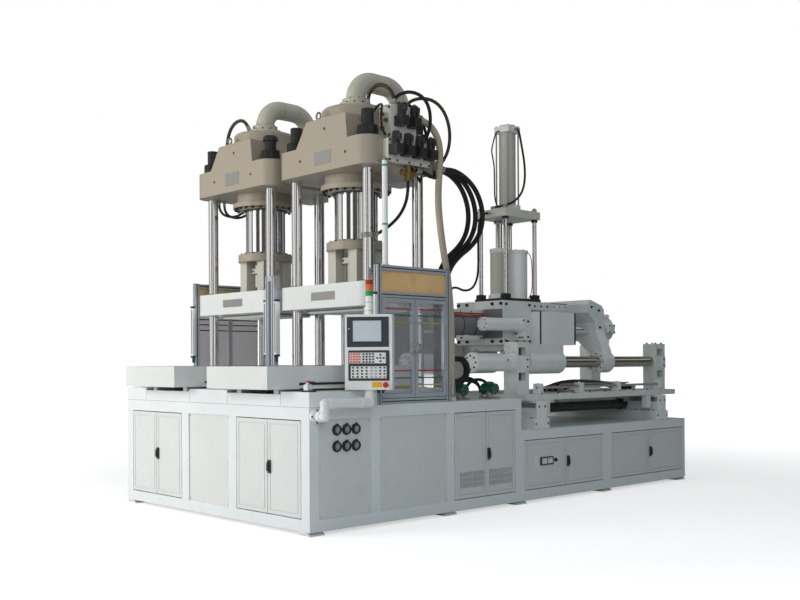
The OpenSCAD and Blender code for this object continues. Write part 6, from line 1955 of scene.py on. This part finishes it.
@dataclass
class Stuffer:
    """Heads, tie rods, bands, feet and hoses of the stuffer."""

    x: float = STATION_X
    y: float = 2.815
    foot_top: float = 1.747
    head_low: float = 2.475
    head_top: float = 2.545
    cylinder_top: float = 3.33
    chamber_top: float = 2.197
    post_dx: float = 0.147
    post_dy: float = 0.202
    body: str = "unit_seat"

    @property
    def posts(self) -> list[tuple[float, float]]:
        """Places of the four posts."""
        return [
            (self.x + sx * self.post_dx, self.y + sy * self.post_dy) for sx in (-1, 1) for sy in (-1, 1)
        ]

    def build(self) -> None:
        """Builds every fitting of the stuffer."""
        self._posts()
        self._cylinder()
        self._chambers()
        self._hoses()

    def _posts(self) -> None:
        """Builds the posts' nuts, chrome and black feet."""
        nuts, feet, chrome = Shape(), Shape(), Shape()
        for px, py in self.posts:
            nuts.nut((px, py, self.head_top), Z_AXIS, 0.026)
            feet.box(
                (px - 0.034, py - 0.034, self.foot_top),
                (px + 0.034, py + 0.034, self.foot_top + 0.04), 0.004
            )
            feet.ring((px, py, self.head_low), -Z_AXIS, 0.03, 0.0192, 0.022, 24)
            chrome.ring(
                (px, py, self.foot_top + 0.04), Z_AXIS, 0.0196, 0.0186,
                self.head_low - self.foot_top - 0.062, 28
            )
        low, high = self.foot_top - 0.0318, self.foot_top - 0.0002
        for sx in (-1, 1):
            x0, x1 = sorted((self.x + sx * 0.1845, self.x + sx * 0.1875))
            feet.box((x0, self.y - 0.2425, low), (x1, self.y + 0.2425, high), 0.001)
            y0, y1 = sorted((self.y + sx * 0.2395, self.y + sx * 0.2425))
            feet.box((self.x - 0.1875, y0, low), (self.x + 0.1875, y1, high), 0.001)
        nuts.piece("stuffer_post_nuts", ZINC, self.body)
        feet.piece("stuffer_post_feet", BLACKED, self.body, "black")
        chrome.piece("stuffer_post_chrome", CHROME, self.body, "chrome")

    def _cylinder(self) -> None:
        """Builds the square heads and tie rods of the top cylinder, and the piston's chrome."""
        x, y = self.x, self.y
        heads, rods = Shape(), Shape()
        for z0, z1 in (
            (self.head_top, self.head_top + 0.06), (self.cylinder_top - 0.07, self.cylinder_top - 0.012)
        ):
            heads.box((x - 0.086, y - 0.086, z0), (x + 0.086, y + 0.086, z1), 0.005)
            heads.adapter((x + 0.086, y, (z0 + z1) / 2), X_AXIS, (0.018, 0.01), (0.01, 0.024))
        for dx in (-0.07, 0.07):
            for dy in (-0.07, 0.07):
                rods.rod(
                    (x + dx, y + dy, self.head_top + 0.055),
                    (x + dx, y + dy, self.cylinder_top - 0.06), 0.0075, 14
                )
                rods.nut((x + dx, y + dy, self.cylinder_top - 0.012), Z_AXIS, 0.0085)
        heads.piece("stuffer_cylinder_heads", PALE, self.body, "pale_paint")
        rods.piece("stuffer_tie_rods", ZINC, self.body)
        Shape().ring((x, y - 0.12, self.chamber_top), Z_AXIS, 0.0306, 0.0294, 0.276, 32).ring(
            (x, y - 0.12, self.head_low - 0.05), Z_AXIS, 0.046, 0.0304, 0.028, 6
        ).piece("stuffer_piston_chrome", CHROME, self.body, "chrome")

    def _chambers(self) -> None:
        """Builds the bands, flanges and bolts of the feed chambers."""
        bands, bolts, sleeve = Shape(), Shape(), Shape()
        for dy, r in ((-0.12, 0.08), (0.1, 0.1125)):
            cy = self.y + dy
            bands.ring((self.x, cy, self.chamber_top - 0.03), Z_AXIS, r + 0.006, r - 0.001, 0.03, 48)
            bolts.bolts(circle((self.x, cy, self.chamber_top), Z_AXIS, r - 0.016, 8), Z_AXIS, 0.007)
        sleeve.ring((self.x, self.y - 0.12, self.foot_top + 0.045), Z_AXIS, 0.0812, 0.0795, 0.37, 48)
        bands.ring((self.x, self.y - 0.12, self.foot_top), Z_AXIS, 0.097, 0.079, 0.034, 48)
        bolts.bolt_circle((self.x, self.y - 0.12, self.foot_top + 0.034), Z_AXIS, 0.089, 8, 0.005, 22)
        bands.piece("chamber_bands", PALE, self.body, "pale_paint")
        bolts.piece("chamber_bolts", ZINC, self.body)
        sleeve.piece("chamber_sleeve", CREAM, self.body)

    def _hoses(self) -> None:
        """Runs the oil hose, the ram hose, the steel pipe and the red air hose of the stuffer."""
        Line("stuffer_oil_hose", [(self.x, y, z) for y, z in (
            (2.575, 2.51), (2.53, 2.508), (2.47, 2.48), (2.432, 2.42), (2.418, 2.34), (2.415, 2.24),
            (2.416, 2.13), (2.414, 2.02), (2.398, 1.925), (2.355, 1.85), (2.29, 1.812), (2.215, 1.806),
            (2.145, 1.822), (2.085, 1.818), (2.045, 1.775), (2.032, 1.71), (2.032, 1.636),
        )], 0.02, body=self.body).build()
        Line("stuffer_ram_hose", (
            (0.7, 2.815, 3.289), (0.722, 2.815, 3.283), (0.738, 2.818, 3.262), (0.748, 2.824, 3.22),
            (0.756, 2.832, 3.155), (0.764, 2.842, 3.08), (0.772, 2.852, 2.995), (0.776, 2.858, 2.905),
            (0.774, 2.856, 2.815), (0.764, 2.842, 2.735), (0.744, 2.814, 2.672), (0.716, 2.772, 2.626),
            (0.69, 2.716, 2.596), (0.654, 2.656, 2.578), (0.628, 2.608, 2.566), (0.615, 2.58, 2.558),
        ), 0.02, body=self.body).build()
        pipe = smooth_path((
            (0.585, 2.73, 3.275), (0.575, 2.702, 3.262), (0.568, 2.684, 3.215), (0.564, 2.664, 3.15),
            (0.562, 2.652, 3.09), (0.563, 2.666, 3.02), (0.565, 2.68, 2.94), (0.565, 2.683, 2.8),
            (0.567, 2.686, 2.67), (0.575, 2.702, 2.606), (0.585, 2.73, 2.58),
        ), 4)
        Shape().sweep(pipe, 0.0065, 12).piece("stuffer_pipe", BLACKED, self.body)
        Line("stuffer_air_hose", (
            (0.705, 2.955, 2.185), (0.722, 2.962, 2.176), (0.744, 2.97, 2.14), (0.754, 2.974, 2.08),
            (0.757, 2.976, 2.0), (0.759, 2.976, 1.92), (0.757, 2.974, 1.85), (0.75, 2.968, 1.8),
            (0.738, 2.958, 1.77), (0.728, 2.95, 1.747),
        ), 0.008, RED_WIRE, self.body, BRASS, stiffness="medium").build()


NODE_LOOKS: dict[str, Finish] = {
    "crossheads": PRESS_PAINT,
    "main_cylinders": PRESS_PAINT,
    "oil_pipes": PIPE_PAINT,
    "spacer_left": CREAM,
    "spacer_right": CREAM,
    "base_frame": FRAME_PAINT,
    "rear_frame": FRAME_PAINT,
    "bed": FRAME_PAINT,
    "injection_cylinders": FILM,
    "stuffer_cylinder": CREAM,
    "feed_chambers": WHITE,
    "stuffer_frame": CREAM_PLATE,
    "valve_block": CREAM_PLATE,
    "guide_bars": BAR_CHROME,
}


def dress_nodes() -> None:
    """Gives every solid its own finish, or that of its material slot."""
    for part in frame["record"]["subparts"]:
        finish = NODE_LOOKS.get(part["node"], NODE_FINISHES[part["material_slot"]])
        node = frame["nodes"][part["node"]]
        node.data.materials.clear()
        node.data.materials.append(finish.material())
        LOG.info("%s: finish %s", part["node"], finish.name)


def main() -> None:
    """Builds the studio and dresses the machine, assembly by assembly."""
    logging.basicConfig(level=logging.INFO, format="%(name)s %(message)s")
    Studio().build()
    dress_nodes()
    Hoses().build()
    for assembly in (
        Cabinet(), Tables(), Press("left", -STATION_X), Press("right", STATION_X), ValveGroup(), SideGuards(),
        LightCurtains(), ControlPanel(), InjectionUnit(), Stuffer(),
    ):
        LOG.info("building %s", type(assembly).__name__)
        assembly.build()


if __name__ == "__main__":
    main()
